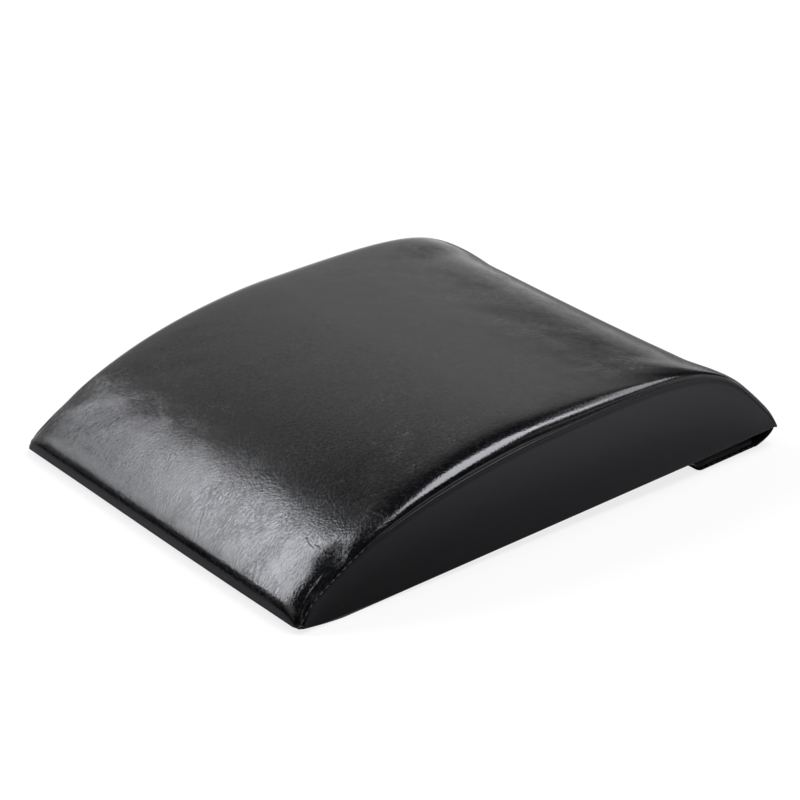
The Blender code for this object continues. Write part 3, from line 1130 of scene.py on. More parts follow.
    def roll(self, rows: Rows, side: Side) -> tuple[np.ndarray, np.ndarray]:
        """One side's roll and the lip beyond its seam.

        Args:
            rows: Places along.
            side: Which side.

        Returns:
            How far from the middle, and how far outward, each column lies, from the roll's top to the lip's end.
        """
        steepest = np.radians(through(self.roll_tilts if side is Side.RIGHT else self.left_tilts, rows.share))
        inward, upward = self.roll_curve(steepest)
        rise = self.rise(rows.share)[:, None]
        drop = self.drop(rows.share, side)[:, None]
        unit_roll = (drop + rise) / upward[:, -1:]
        half = OUTLINE.half_width(rows.z)[:, None]
        roll_x = half - unit_roll * inward[:, ::-1]
        roll_out = -(drop + rise) + unit_roll * upward[:, ::-1] + rise
        start = steepest[:, None]
        turn = start + (math.pi - start) * np.linspace(0, 1, self.lip_columns + 1)[None, 1:]
        lip_x = half - self.lip_radius * (np.sin(start) - np.sin(turn))
        lip_out = -drop - self.lip_radius * (np.cos(start) - np.cos(turn))
        return np.concatenate([roll_x, lip_x], axis=1), np.concatenate([roll_out, lip_out], axis=1)

    def grid(self, rows: Rows) -> np.ndarray:
        """The outer face of the cover, with the turned-in lip beyond each seam.

        Args:
            rows: Places along.

        Returns:
            Points by row and column, in the mat's frame.
        """
        right_x, right_out = self.roll(rows, Side.RIGHT)
        left_x, left_out = self.roll(rows, Side.LEFT)
        half = OUTLINE.half_width(rows.z)[:, None]
        even = np.linspace(0, 1, self.flat_columns + 1)[1:-1][None]
        shares = even - self.flat_bunching * np.sin(2 * math.pi * even) / (2 * math.pi)
        flat_x = -left_x[:, :1] + (right_x[:, :1] + left_x[:, :1]) * shares
        rise = self.rise(rows.share)[:, None]
        roll_end = np.where(flat_x > 0, right_x[:, :1], left_x[:, :1])
        flat_out = rise * smoothstep(1 - (roll_end - np.abs(flat_x)) / (self.rise_width * half))
        x = np.concatenate([-left_x[:, ::-1], flat_x, right_x], axis=1)
        out = np.concatenate([left_out[:, ::-1], flat_out, right_out], axis=1)
        across = np.clip(x / half, -1, 1)
        drawn_in = self.pinched(rows, np.clip(half - np.abs(x), 0, None))
        return rows.pushed(x, out + self.fullness(rows, across) - drawn_in)

    def pinched(self, rows: Rows, inward: np.ndarray) -> np.ndarray:
        """How far the cover is drawn in beside its two front corners: a dimple, less a pulled fold by the seam.

        Args:
            rows: Places along.
            inward: How far inside the seam each point lies.

        Returns:
            The depth at each point.
        """
        along = rows.from_nose[:, None]
        fade_in = smoothstep((along - self.fold_from) / self.fold_rise)
        reach = fade_in * smoothstep((self.fold_to - along) / self.fold_fall)
        beyond = (inward - through(self.fold_in, along / MM) * MM) / self.fold_width
        groove = np.exp(-((beyond - self.fold_groove_away) ** 2))
        fold = self.fold_height * reach * (np.exp(-(beyond**2)) - self.fold_groove * groove)
        dimple_in = ((inward - self.dimple_in) / self.dimple_width) ** 2
        dimple = self.dimple_depth * np.exp(-dimple_in - ((along - self.dimple_along) / self.dimple_length) ** 2)
        return dimple * smoothstep(inward / self.dimple_fade) - fold

    def settled(self, grid: np.ndarray) -> np.ndarray:
        """The grid with the small unevenness that a cloth simulation gives the stretched cover.

        The simulation runs on a coarser copy. Its broad swelling is left out, because the foam's own shape has it.

        Args:
            grid: Points by row and column, in the mat's frame.

        Returns:
            The moved points.
        """
        along = travelled(grid[:, grid.shape[1] // 2])
        across = travelled(grid[grid.shape[0] // 2])
        first, last = self.lip_columns, len(across) - 1 - self.lip_columns
        row_at = np.searchsorted(along, np.arange(0, along[-1], self.cloth_spacing)).clip(0, len(along) - 1)
        column_at = np.searchsorted(across, np.arange(across[first], across[last], self.cloth_spacing))
        row_at = np.union1d(row_at, [len(along) - 1])
        column_at = np.union1d(column_at.clip(first, last), [last])
        coarse = grid[np.ix_(row_at, column_at)]
        rows, columns = coarse.shape[:2]
        held = np.zeros((rows, columns))
        held[[0, -1]] = 1.0
        held[:, [0, -1]] = 1.0
        rest = self.cloth.settled(coarse.reshape(-1, 3), grid_faces(rows, columns), held.reshape(-1))
        push = np.sum((rest.reshape(coarse.shape) - coarse) * self.outward_of(coarse), axis=-1)
        far_along, far_across = along[row_at], across[column_at]
        push -= self.eased(self.eased(push, far_along, self.cloth_wide).T, far_across, self.cloth_wide).T
        fine = np.stack([np.interp(along, far_along, push[:, column]) for column in range(columns)], axis=1)
        fine = np.stack([np.interp(across, far_across, row) for row in fine])
        fine = self.eased(self.eased(fine, along, self.cloth_soft).T, across, self.cloth_soft).T
        from_seam, to_seam = across - across[first], across[last] - across
        from_nose, to_tail = along - self.cloth_clear / 3, along[-1] - along
        sides = smoothstep(from_seam / self.cloth_clear) * smoothstep(to_seam / self.cloth_clear)
        ends = smoothstep(from_nose / self.cloth_clear) * smoothstep(to_tail / self.cloth_clear)
        clear = sides[None] * ends[:, None]
        push = self.cloth_cap * np.tanh(fine * self.cloth_share / self.cloth_cap) * clear
        log.info("cloth: moved by up to %.2f mm", float(np.abs(push).max()) / MM)
        return grid + self.outward_of(grid) * push[..., None]

    def outward_of(self, grid: np.ndarray) -> np.ndarray:
        """The outward direction at each point of a grid."""
        return unit(np.cross(np.gradient(grid, axis=1), np.gradient(grid, axis=0)))

    def eased(self, values: np.ndarray, places: np.ndarray, width: float) -> np.ndarray:
        """Values smoothed along their first axis.

        Args:
            values: The values.
            places: Where each row of them is.
            width: How widely they are smoothed.

        Returns:
            The smoothed values.
        """
        step = np.gradient(places)
        weight = np.exp(-(((places[:, None] - places[None]) / width) ** 2) / 2) * step[None]
        return (weight / weight.sum(axis=1, keepdims=True)) @ values

    def rounded(self, grid: np.ndarray) -> np.ndarray:
        """The grid with both turned edges eased over.

        Args:
            grid: Points by row and column.

        Returns:
            The eased points.
        """
        along = travelled(grid[:, grid.shape[1] // 2])
        nose_edge = along[round(self.nose_tuck / self.tuck_spacing)]
        tail_edge = along[-1] - self.tail_tuck * self.tail_edge_share
        eased = grid
        for edge, width in ((nose_edge, self.nose_rounding), (tail_edge, self.tail_rounding)):
            weight = np.exp(-(((along[:, None] - along[None]) / width) ** 2) / 2)
            weight /= weight.sum(axis=1, keepdims=True)
            smooth = np.einsum("rs,scd->rcd", weight, eased)
            fade = smoothstep(2 - 2 * np.abs(along - edge) / self.rounding_reach)[:, None, None]
            eased = eased + (smooth - eased) * fade
        eased[..., 2] -= self.tail_hang * np.exp(-(((along - tail_edge) / self.tail_hang_width) ** 2))[:, None]
        return eased

    def build(self) -> bpy.types.Object:
        """Build, dress and place the padded top.

        Returns:
            The piece.
        """
        grid = self.rounded(self.grid(self.rows()))
        grid = self.settled(grid)
        rows, columns = grid.shape[:2]
        faces = grid_faces(rows, columns)
        for row in range(rows - 1):
            a, b = row * columns, row * columns + columns - 1
            faces.append((a, a + columns, b + columns, b))
        faces += end_caps(rows, columns)
        made = make_object(self.name, MAT.to_world(OUTLINE.cornered(grid.reshape(-1, 3))), faces, TOP_VINYL.build())
        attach(made, Body.MAT.value)
        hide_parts("top_panel", "comfort_foam")
        return made


@dataclass
class SidePanel:
    """One crescent side panel: flat cloth with a folded bead along its seam and a turned lower edge."""

    side: Side
    top: TopCover
    thickness: float = 1.2 * MM
    bead_radius: float = 0.5 * MM
    bead_steps: int = 11
    bead_proud: float = 0.35 * MM
    seam_gap: float = 0.8 * MM
    bulge: float = 0.5 * MM
    bulge_full_at: float = 20 * MM
    foot: float = 0.05 * MM
    foot_radius: float = 0.4 * MM
    foot_steps: int = 5
    end_gap: float = 1.0 * MM
    least_rise: float = 0.2 * MM
    rise_rows: int = 14
    inner_step: int = 3
    spacing: float = 1.6 * MM
    flat_height: float = 65 * MM
    flat_length: float = 378 * MM
    flat_area: float = 0.0185

    def seam(self) -> tuple[np.ndarray, np.ndarray]:
        """Where the top cover's seam runs along this side.

        Returns:
            Its points in Y and Z, and its half width.
        """
        rows = self.top.rows()
        edge = rows.pushed(OUTLINE.half_width(rows.z)[:, None], -self.top.drop(rows.share, self.side)[:, None])[:, 0]
        kept = (rows.from_nose > 0) & (rows.from_tail > 0)
        return edge[kept][:, 1:], edge[kept][:, 0]

    def build(self) -> bpy.types.Object:
        """Build, dress and place the panel.

        Returns:
            The piece.
        """
        outer = self.outer_rows()  # the inner face follows its flat part from the neck down, in fewer rows
        neck_row = self.foot_steps + self.rise_rows - 1
        inward = np.array([self.thickness, 0, 0])
        inner = [row - inward for row in outer[neck_row : self.foot_steps - 2 : -self.inner_step]]
        ring = np.stack(outer + inner, axis=1)
        ring[..., 0] *= self.side.value
        rows, columns = ring.shape[:2]
        faces = grid_faces(rows, columns, closed=True) + end_caps(rows, columns)
        name = self.side.name.lower()
        points = MAT.to_world(OUTLINE.cornered(ring.reshape(-1, 3)))
        made = make_object(f"{name}_side_cover", points, faces, SIDE_VINYL.build())
        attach(made, Body.MAT.value)
        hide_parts(f"{name}_side_panel")
        return made

    def outer_rows(self) -> list[np.ndarray]:
        """The panel's outer face, from the turned foot over the flat cloth and round the bead.

        Returns:
            Rows of points that run along the panel, in the mat's frame.
        """
        line, half = self.seam()
        order = np.argsort(line[:, 0])
        y = np.arange(self.end_gap, OUTLINE.length - self.end_gap, self.spacing)
        top_z = np.interp(y, line[order, 0], line[order, 1])
        top_x = np.interp(y, line[order, 0], half[order])
        foot_x = OUTLINE.width / 2
        foot_z = OUTLINE.base_height(y) + self.foot
        neck = top_z - self.seam_gap - 2 * self.bead_radius
        rise = np.maximum(neck - foot_z, self.least_rise)
        foot_size, bead_size = np.minimum(self.foot_radius, rise / 3), np.minimum(self.bead_radius, rise / 4)
        outer = []
        for angle in np.linspace(-math.pi / 2, 0, self.foot_steps):
            x = foot_x - self.foot_radius * (1 - math.cos(angle))
            outer.append(np.stack([np.full_like(y, x), y, foot_z + foot_size * (1 + math.sin(angle))], axis=-1))
        low = foot_z + foot_size
        for share in np.linspace(0, 1, self.rise_rows + 1)[1:]:
            bulge = self.bulge * math.sin(math.pi * share) * np.minimum(1, rise / self.bulge_full_at)
            x = foot_x + (top_x - foot_x) * share + bulge
            outer.append(np.stack([x, y, low + (np.maximum(neck, low) - low) * share], axis=-1))
        for angle in np.linspace(-math.pi / 3, math.pi, self.bead_steps):
            x = top_x - bead_size + self.bead_proud + bead_size * math.cos(angle)
            z = top_z - self.seam_gap - bead_size + bead_size * math.sin(angle)
            outer.append(np.stack([x, y, z], axis=-1))
        return outer


@dataclass
class BaseCover:
    """The flat base cloth, curled up with the nose, with a stitched hem all round."""

    name: str = "base_cover_hemmed"
    front: float = 4.7 * MM
    rear: float = 375.9 * MM
    half_width: float = 138.4 * MM
    thickness: float = 1.2 * MM
    hem: float = 5.5 * MM
    groove_width: float = 0.8 * MM
    groove_depth: float = 0.5 * MM
    sink: float = 0.35 * MM
    sink_width: float = 30 * MM
    upper_groove: float = 0.3
    edge_round: float = 0.2 * MM
    edge_round_width: float = 0.7 * MM
    edge_reach: float = 9 * MM
    edge_spacing: float = 0.9 * MM
    flat_spacing: float = 6 * MM
    curl_end: float = 34 * MM
    curl_spacing: float = 2 * MM

    def build(self) -> bpy.types.Object:
        """Build, dress and place the base.

        Returns:
            The piece.
        """
        y = graded([
            (self.front, 0.0), (self.front + self.edge_reach, self.edge_spacing), (self.curl_end, self.curl_spacing),
            (self.rear - self.edge_reach, self.flat_spacing), (self.rear, self.edge_spacing),
        ])
        half = graded([
            (0.0, 0.0), (self.half_width - self.edge_reach, self.flat_spacing), (self.half_width, self.edge_spacing),
        ])
        x = np.concatenate([-half[:0:-1], half])
        across, along = np.meshgrid(x, y)
        edge = np.minimum(self.half_width - np.abs(across), np.minimum(along - self.front, self.rear - along))
        groove = self.groove_depth * np.exp(-(((edge - self.hem) / self.groove_width) ** 2))
        sag = self.sink * smoothstep((edge - self.hem) / self.sink_width)
        corner = self.edge_round * np.exp(-((edge / self.edge_round_width) ** 2))
        height = OUTLINE.base_height(along)
        lower = np.stack([across, along, height + groove + sag + corner], axis=-1)
        upper_z = height + self.thickness + groove * self.upper_groove - corner
        upper = np.stack([across, along, upper_z], axis=-1)
        made = make_object(self.name, *closed_skin(lower, upper), BASE_VINYL.build())
        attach(made, Body.MAT.value)
        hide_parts("base_panel")
        return made


@dataclass
class TailPad:
    """The folded tail-bone pad: a puffed inner cover over its foam, and a flat outer cover sewn to its rim.

    The cushion's rings are insets and heights in millimetres. Those of the outer cover are insets, and heights above
    its lower face (cover_foot) or its upper face (cover_edge).
    """

    fold_y: float = 378.875 * MM
    fold_z: float = 1.132 * MM
    front: float = 314.2 * MM
    slant: float = 9.0 * MM
    rear: float = 362.875 * MM
    half_width: float = 136 * MM
    top: float = -1.2 * MM
    bottom: float = -10.0 * MM
    skin: float = 1.0 * MM
    rear_corner: float = 1.2 * MM
    front_corner: float = 3.0 * MM
    corner_steps: int = 7
    long_steps: int = 90
    short_steps: int = 14
    rings: Pairs = (
        (1.9, -8.9), (1.35, -8.4), (1.05, -7.4), (0.95, -6.0), (1.15, -4.6), (1.7, -3.4), (2.6, -2.55), (3.9, -2.0),
        (5.6, -1.68), (8.0, -1.48), (11.0, -1.36), (14.5, -1.28), (18.5, -1.22),
    )
    cover_foot: Pairs = ((6.0, 0.12), (2.2, 0.05), (1.2, 0.0), (0.35, 0.08), (0.05, 0.3))
    cover_edge: Pairs = ((0.05, -0.3), (0.35, -0.06), (1.2, 0.0), (3.0, 0.0))
    least_corner: float = 0.6 * MM
    upright_from: float = 12 * MM
    cloth: ClothRun = ClothRun(growth=0.02)
    cloth_cap: float = 1.1 * MM
    clearance: float = 0.02 * MM
    skin_clearance: float = 0.05 * MM
    thread_inset: float = 0.75 * MM
    thread_radius: float = 0.24 * MM
    stitch: float = 4.2 * MM
    stitch_gap: float = 0.9 * MM
    stitch_dips: tuple[float, ...] = (-1.0, 0.3, 0.8, 0.8, 0.3, -1.0)
    upper_lift: float = 0.22 * MM
    lower_lift: float = -0.12 * MM
    lower_in: float = 0.3 * MM

    def loop(self, inset: float) -> np.ndarray:
        """A rounded rectangle round the pad.

        Args:
            inset: How far inside the pad's outline it lies.

        Returns:
            Points in X and Y.
        """
        middle = (self.front + self.rear) / 2
        half_x, half_y = self.half_width - inset, (self.rear - self.front) / 2 - inset
        rear, front = (max(corner - inset, self.least_corner) for corner in (self.rear_corner, self.front_corner))
        corners = [(1, 1, rear), (-1, 1, rear), (-1, -1, front), (1, -1, front)]
        steps = [self.long_steps, self.short_steps, self.long_steps, self.short_steps]
        points = []
        for index, (way_x, way_y, radius) in enumerate(corners):
            centre = np.array([way_x * (half_x - radius), way_y * (half_y - radius)])
            for turn in np.linspace(0, math.pi / 2, self.corner_steps) + index * math.pi / 2:
                points.append(tuple(centre + radius * np.array([math.cos(turn), math.sin(turn)])))
            here = np.array(points[-1])
            next_x, next_y, next_radius = corners[(index + 1) % 4]
            turn = (index + 1) * math.pi / 2
            there = np.array([next_x * (half_x - next_radius), next_y * (half_y - next_radius)])
            there += next_radius * np.array([math.cos(turn), math.sin(turn)])
            for share in np.linspace(0, 1, steps[index] + 1)[1:-1]:
                points.append(tuple(here + (there - here) * share))
        return np.array(points) + np.array([0, middle])

    def stacked(self, rings: list[tuple[float, float]]) -> tuple[np.ndarray, list]:
        """A closed skin through loops, each at its inset and height.

        Args:
            rings: Pairs of inset and height, from one flat cap to the other.

        Returns:
            World points, and faces.
        """
        loops = []
        for inset, height in rings:
            loop = self.loop(inset)
            behind = self.rear - self.upright_from - loop[:, 1]
            ahead = smoothstep(behind / (self.rear - self.front - self.upright_from))
            risen = (height - self.bottom) / (self.top - self.bottom)
            loop[:, 1] -= self.slant * risen * ahead
            loops.append(np.column_stack([loop, np.full(len(loop), height)]))
        columns = len(loops[0])
        faces = grid_faces(len(loops), columns, closed=True) + end_caps(len(loops), columns)
        return MAT.to_world(np.concatenate(loops)), faces

    def build(self) -> list[bpy.types.Object]:
        """Build, dress and place the pad's pieces.

        Returns:
            The pieces.
        """
        return [self.build_cushion(), self.build_outer_cover(), self.build_thread()]

    def build_cushion(self) -> bpy.types.Object:
        """The puffed inner cover with its foam."""
        rings = [(inset * MM, height * MM) for inset, height in self.rings]
        points, faces = self.stacked(rings)
        points = self.settled(points, faces)
        made = make_object("tail_pad_cushion", points, faces, PAD_VINYL.build())
        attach(made, Body.TAIL_PAD.value)
        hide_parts("tail_pad_inner_skin", "tail_pad_foam")
        return made

    def settled(self, points: np.ndarray, faces: list) -> np.ndarray:
        """The cushion pressed out by its foam, held at its sewn rim and flat against the base above it.

        Args:
            points: Its points in the world.
            faces: Its faces.

        Returns:
            The moved points.
        """
        ring = len(points) // len(self.rings)
        held = np.zeros(len(points))
        held[: 2 * ring] = 1.0
        moved = self.cloth.settled(points, faces, held) - points
        length = np.linalg.norm(moved, axis=1, keepdims=True)
        moved *= self.cloth_cap * np.tanh(length / self.cloth_cap) / np.maximum(length, 1e-9)
        local = MAT.to_mat(points + moved)
        local[:, 2] = np.minimum(local[:, 2], self.top - self.clearance)
        local[:, 2] = np.maximum(local[:, 2], self.bottom + self.skin + self.skin_clearance)
        return MAT.to_world(local)

    def build_outer_cover(self) -> bpy.types.Object:
        """The flat outer cover, with its cut edge rounded."""
        low, high = self.bottom, self.bottom + self.skin
        rings = [(inset * MM, low + up * MM) for inset, up in self.cover_foot]
        rings += [(inset * MM, high + up * MM) for inset, up in self.cover_edge]
        made = make_object("tail_pad_outer_cover", *self.stacked(rings), PAD_VINYL.build())
        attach(made, Body.TAIL_PAD.value)
        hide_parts("tail_pad_outer_skin")
        return made

    def build_thread(self) -> bpy.types.Object:
        """Stitches through the rim, all round."""
        loop = self.loop(self.thread_inset)
        closed = np.concatenate([loop, loop[:1]])
        along = travelled(closed)
        count = round(along[-1] / (self.stitch + self.stitch_gap))
        starts = np.linspace(0, along[-1], count, endpoint=False)
        paths = []
        rows = ((self.bottom + self.skin, self.upper_lift), (self.bottom + self.lower_in, self.lower_lift))
        for level, lift in rows:
            for start in starts:
                places = np.linspace(start, start + self.stitch, len(self.stitch_dips)) % along[-1]
                x, y = (np.interp(places, along, closed[:, axis]) for axis in (0, 1))
                paths.append(MAT.to_world(np.column_stack([x, y, level + np.array(self.stitch_dips) * lift])))
        points, faces = tubes(paths, self.thread_radius)
        made = make_object("tail_pad_thread", points, faces, SEWING_THREAD.build())
        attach(made, Body.TAIL_PAD.value)
        return made


@dataclass
class HingeStrip:
    """The fabric strip from under the tail's edge to the pad's outer cover."""

    pad: TailPad
    name: str = "hinge_strip_fabric"
    half_width: float = 136 * MM
    thickness: float = 0.9 * MM
    steps: int = 26
    columns: int = 60
    upper_pull: tuple[float, float] = (3.3 * MM, -5.1 * MM)
    lower_pull: tuple[float, float] = (6.2 * MM, 0.7 * MM)
    flat_length: float = 21.5 * MM
    gap: float = 0.1 * MM
    sewn_in: float = 0.9 * MM
    ripple: float = 0.18 * MM
    ripple_length: float = 9 * MM
    ripple_drift_length: float = 31 * MM
    ripple_drift: float = 2.0
    free_from: int = 9

    def build(self) -> bpy.types.Object:
        """Build, dress and place the strip.

        Returns:
            The piece.
        """
        start = np.array([self.pad.fold_y, self.pad.fold_z])
        end = np.array([self.pad.rear + self.gap, self.pad.bottom + self.pad.skin / 2])
        line = cubic(start, start + np.array(self.upper_pull), end + np.array(self.lower_pull), end, self.steps)
        lead = start + unit(start - line[1]) * self.sewn_in
        line = np.concatenate([lead[None], line])
        tangent = unit(np.gradient(line, axis=0))
        normal = np.stack([-tangent[:, 1], tangent[:, 0]], axis=-1)
        x = np.linspace(-self.half_width, self.half_width, self.columns)
        share = np.linspace(0, 1, len(line))[:, None]
        drift = self.ripple_drift * np.sin(x / self.ripple_drift_length)
        wave = self.ripple * np.sin(math.pi * share) * np.sin(x / self.ripple_length + drift)[None]
        faces_at = []
        for side in (1, -1):
            offset = side * self.thickness / 2 + wave
            y = line[:, 0:1] + normal[:, 0:1] * offset
            z = line[:, 1:2] + normal[:, 1:2] * offset
            faces_at.append(np.stack([np.broadcast_to(x, y.shape), y, z], axis=-1))
        points, faces = closed_skin(faces_at[0], faces_at[1])
        made = make_object(self.name, points, faces, BACKING_FABRIC.build())
        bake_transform(made)
        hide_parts("hinge_strip")
        return made


@dataclass
class SeamThread:
    """The row of stitches along one side seam, sunk into the folded edge of the side panel."""

    side: Side
    panel: SidePanel
    stitch: float = 2.6 * MM
    gap: float = 2.1 * MM
    radius: float = 0.3 * MM
    below: float = 0.55 * MM
    nose_below: float = 0.25 * MM
    nose_proud: float = 0.35 * MM
    sunk: float = -0.75 * MM
    nose_reach: float = 55 * MM
    nose_fade: float = 10 * MM
    first: float = 4 * MM
    last: float = 6 * MM
    dips: tuple[float, ...] = (-0.25, 0.05, 0.12, 0.12, 0.05, -0.25)

    def build(self) -> bpy.types.Object:
        """Build, dress and place the row.

        Returns:
            The piece.
        """
        line, half = self.panel.seam()
        along = travelled(line)
        paths = []
        for start in np.arange(self.first, along[-1] - self.last, self.stitch + self.gap):
            places = np.linspace(start, start + self.stitch, len(self.dips))
            y, z, x = (np.interp(places, along, values) for values in (*line.T, half))
            dip = np.array(self.dips) * MM
            behind = smoothstep((places - self.nose_reach) / self.nose_fade)
            z = z - self.nose_below - (self.below - self.nose_below) * behind
            x = x + self.nose_proud + (self.sunk - self.nose_proud) * behind
            paths.append(MAT.to_world(np.column_stack([self.side.value * (x + dip), y, z])))
        points, faces = tubes(paths, self.radius)
        made = make_object(f"{self.side.name.lower()}_seam_thread", points, faces, SEWING_THREAD.build())
        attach(made, Body.MAT.value)
        return made


# ---------------------------------------------------------------- studio


@dataclass(frozen=True)
class Softbox:
    """A soft lamp that looks at the mat from one direction."""

    name: str
    azimuth: float
    elevation: float
    radiance: float
    width: float
    height: float
    turn: float = 0.0
    distance: float = 2.6

    def build(self, tint: Triple) -> None:
        """Place the lamp.

        Args:
            tint: Its colour.
        """
        way = towards(self.azimuth, self.elevation)
        lamp = bpy.data.lights.new(self.name, "AREA")
        lamp.shape = "RECTANGLE"
        lamp.size = 2 * self.distance * math.tan(math.radians(self.width) / 2)
        lamp.size_y = 2 * self.distance * math.tan(math.radians(self.height) / 2)
        lamp.energy = self.radiance * math.pi * lamp.size * lamp.size_y
        lamp.color = tint
        made = bpy.data.objects.new(self.name, lamp)
        made.location = way * self.distance
        facing = way.to_track_quat("Z", "Y").to_matrix() @ Matrix.Rotation(math.radians(self.turn), 3, "Z")
        made.rotation_euler = facing.to_euler()
        bpy.context.scene.collection.objects.link(made)


@dataclass(frozen=True)
class Card:
    """A card near the mat, seen only in its gloss: its diffuse colour is painted floor shade for the mat's reflections.

    Its light changes across it, along it and far behind: each says from where to where, and the light at both.
    """

    name: str
    corners: tuple[Triple, ...]
    shade: float
    across: tuple[float, float, float, float] = (0.16, 0.32, 0.6, 1.2)
    along: tuple[float, float, float, float] = (-0.25, 0.20, 0.75, 1.55)
    far: tuple[float, float, float, float] = (0.22, 0.38, 1.0, 0.55)

    def build(self) -> None:
        """Place the card."""
        made, nodes = new_material(self.name, bare=True)
        parts = nodes.add("ShaderNodeSeparateXYZ", Vector=nodes.place()).outputs
        low, high, dimmest, brightest = self.across
        # painted shadow: the card is darker by the mat's side, where the mat shades the floor
        light = nodes.ranged(parts["X"], low, high, dimmest * self.shade, brightest * self.shade)
        light = nodes.maths("MULTIPLY", light, nodes.ranged(parts["Y"], *self.along))
        light = nodes.maths("MULTIPLY", light, nodes.ranged(parts["Y"], *self.far))
        paper = nodes.add("ShaderNodeBsdfDiffuse", Color=light)
        nodes.add("ShaderNodeOutputMaterial", Surface=paper.outputs[0])
        card = make_object(self.name, np.array(self.corners), [(0, 1, 2, 3)], made)
        card.visible_camera = card.visible_diffuse = card.visible_shadow = card.visible_transmission = False


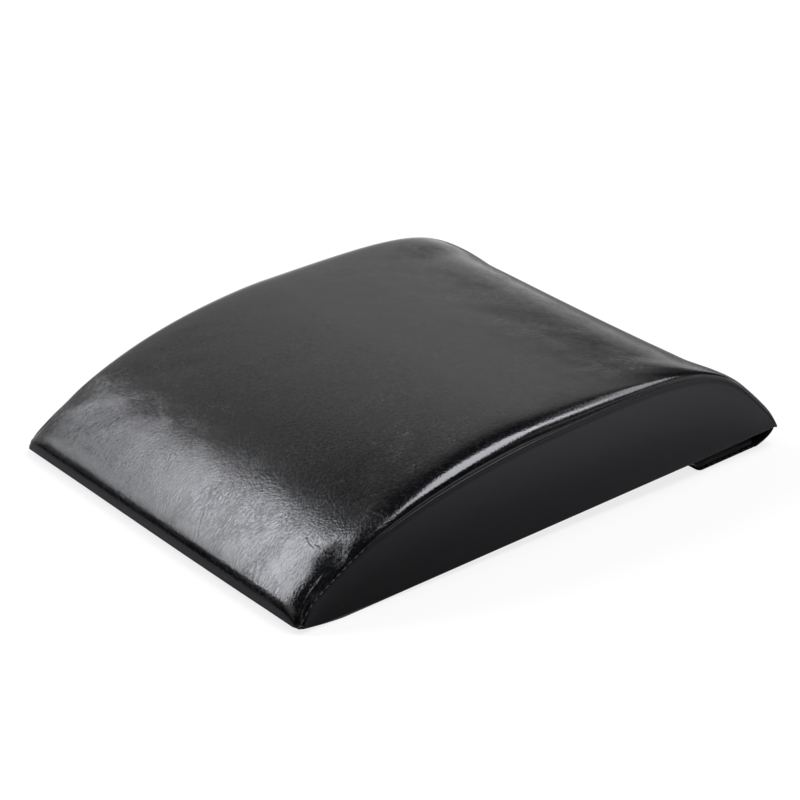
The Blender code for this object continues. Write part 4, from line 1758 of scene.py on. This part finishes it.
@dataclass
class Studio:
    """White floor, pale walls with a dark ceiling, cards, softboxes, and the photograph's camera.

    Each flag darkens a patch of wall: its azimuth and elevation, and how many degrees round them it is dark and fades.
    """

    floor_half: float = 4.0
    floor_colour: float = 0.82
    floor_white_share: float = 0.8
    camera_place: Triple = (1.13059805, -0.94407474, 0.75762578)
    camera_aim: Triple = (-0.00091842, -0.00290785, 0.0341098)
    camera_roll: float = math.radians(1.0186)
    lens: float = 118.98
    sensor: float = 36.0
    softboxes: tuple[Softbox, ...] = (
        Softbox("key softbox", -60.0, 45.0, 10.6, 26, 15, turn=-20),
        Softbox("corner softbox", -41, 33, 7.0, 12, 14),
        Softbox("low softbox", -52, 30, 2.4, 24, 14),
        Softbox("far softbox", 152, 71, 9.8, 34, 27),
        Softbox("rear softbox", -174, 49.5, 4.6, 32, 10, turn=-31),
    )
    tint: Triple = (0.975, 0.985, 1.05)
    walls: Pairs = (
        (0.0, 0.9), (0.50, 0.9), (0.62, 0.62), (0.70, 0.66), (0.80, 0.88), (0.83, 0.80), (0.85, 0.40), (0.862, 0.12),
        (0.88, 0.02), (1.0, 0.02),
    )
    flags: tuple[tuple[float, float, float, float], ...] = (
        (-157, 53, 13, 28), (100, 24, 24, 38), (-154, 16, 14, 21), (-42, 8, 12, 21), (22, 12, 28, 42),
    )
    flag_light: float = 0.03
    # the cards paint shade on the floor, seen only in the mat's reflections; the side and nose cards are painted shadow
    # of the mat
    cards: tuple[Card, ...] = (
        Card("black_card", shade=0.004, corners=(
            (-0.55, -0.31, 0.001), (0.12, -0.31, 0.001), (0.12, -0.31, 0.040), (-0.55, -0.31, 0.040),
        )),
        # painted shadow of the mat on the floor beside its right side
        Card("painted_side_shadow_card", shade=0.33, corners=(
            (0.1396, -0.30, 0.001), (0.60, -0.30, 0.001), (0.60, 0.45, 0.001), (0.1396, 0.45, 0.001),
        )),
        # painted shadow of the mat on the floor before its nose
        Card("painted_nose_shadow_card", shade=0.60, corners=(
            (-0.30, -0.308, 0.001), (0.146, -0.308, 0.001), (0.146, -0.18, 0.001), (-0.30, -0.18, 0.001),
        )),
        Card("rear_card", shade=0.25, corners=(
            (-0.40, 0.195, 0.001), (0.1396, 0.195, 0.001), (0.30, 1.2, 0.001), (-0.40, 1.2, 0.001),
        )),
    )

    def build(self) -> None:
        """Build the floor, the light and the camera."""
        self.build_floor()
        for card in self.cards:
            card.build()
        self.build_world()
        for softbox in self.softboxes:
            softbox.build(self.tint)
        self.build_camera()
        bpy.context.scene.view_settings.view_transform = "Standard"

    def build_floor(self) -> None:
        """A plain white floor that takes the mat's shadow."""
        made, nodes = new_material("white floor", bare=True)
        light = nodes.add("ShaderNodeLightPath")
        seen = nodes.maths("MAXIMUM", light.outputs["Is Camera Ray"], light.outputs["Is Glossy Ray"])
        seen = nodes.maths("MAXIMUM", seen, light.outputs["Is Transmission Ray"])
        plain = nodes.add("ShaderNodeBsdfDiffuse", Color=(self.floor_colour,) * 3 + (1.0,))
        white = nodes.add("ShaderNodeEmission", Color=(1.0, 1.0, 1.0, 1.0), Strength=1.0)
        mixed = nodes.add("ShaderNodeMixShader")
        nodes.put(mixed.inputs[0], nodes.maths("MULTIPLY", seen, self.floor_white_share))
        nodes.put(mixed.inputs[1], plain.outputs[0])
        nodes.put(mixed.inputs[2], white.outputs[0])
        nodes.add("ShaderNodeOutputMaterial", Surface=mixed.outputs[0])
        r = self.floor_half
        corners = np.array([(-r, -r, 0), (r, -r, 0), (r, r, 0), (-r, r, 0)])
        make_object("floor", corners, [(0, 1, 2, 3)], made)

    def build_world(self) -> None:
        """Pale walls all round, dark overhead."""
        world = bpy.data.worlds.new("studio")
        world.use_nodes = True
        bpy.context.scene.world = world
        nodes = Nodes(world.node_tree)
        world.node_tree.nodes.clear()
        way = nodes.add("ShaderNodeTexCoord").outputs["Generated"]
        height = nodes.add("ShaderNodeSeparateXYZ", Vector=way).outputs["Z"]
        risen = nodes.maths("MULTIPLY_ADD", height, 0.5)
        risen.node.inputs[2].default_value = 0.5
        ramp = nodes.add("ShaderNodeValToRGB", Fac=risen)
        bands = ramp.color_ramp.elements
        while len(bands) < len(self.walls):
            bands.new(0.5)
        for band, (at, light) in zip(bands, self.walls):
            band.position = at
            band.color = (light, light, light, 1.0)
        light = ramp.outputs["Color"]
        for azimuth, elevation, dark, clear in self.flags:
            near = nodes.vector("DOT_PRODUCT", way, tuple(towards(azimuth, elevation)))
            clear_at, dark_at = (math.cos(math.radians(angle)) for angle in (clear, dark))
            light = nodes.maths("MULTIPLY", light, nodes.ranged(near, clear_at, dark_at, 1.0, self.flag_light))
        sky = nodes.add("ShaderNodeBackground", Color=(1.0, 1.0, 1.0, 1.0), Strength=light)
        nodes.add("ShaderNodeOutputWorld", Surface=sky.outputs[0])

    def build_camera(self) -> None:
        """The camera at the photograph's viewing angle."""
        data = bpy.data.cameras.new("camera")
        data.lens = self.lens
        data.sensor_width = self.sensor
        data.sensor_fit = "HORIZONTAL"
        data.clip_end = 50.0
        camera = bpy.data.objects.new("camera", data)
        bpy.context.scene.collection.objects.link(camera)
        place, aim = Vector(self.camera_place), Vector(self.camera_aim)
        back = (place - aim).normalized()
        level = Vector((-back.y, back.x, 0.0)).normalized()
        upright = back.cross(level)
        right = level * math.cos(self.camera_roll) + upright * math.sin(self.camera_roll)
        up = back.cross(right)
        turn = Matrix((right, up, back)).transposed()
        camera.matrix_world = Matrix.Translation(place) @ turn.to_4x4()
        bpy.context.scene.camera = camera


def main() -> None:
    """Build the studio and every piece, in order."""
    logging.basicConfig(level=logging.INFO, format="%(name)s: %(message)s")
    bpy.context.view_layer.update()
    Studio().build()
    top = TopCover()
    pieces = [top.build()]
    for side in Side:
        panel = SidePanel(side, top)
        pieces += [panel.build(), SeamThread(side, panel).build()]
    pad = TailPad()
    pieces += [BaseCover().build(), *pad.build(), HingeStrip(pad).build()]
    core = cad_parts["foam_core"]
    core.data.materials.clear()
    core.data.materials.append(CORE_FOAM.build())
    for piece in pieces:
        log.info("%s: %d faces", piece.name, len(piece.data.polygons))


if __name__ == "__main__":
    main()
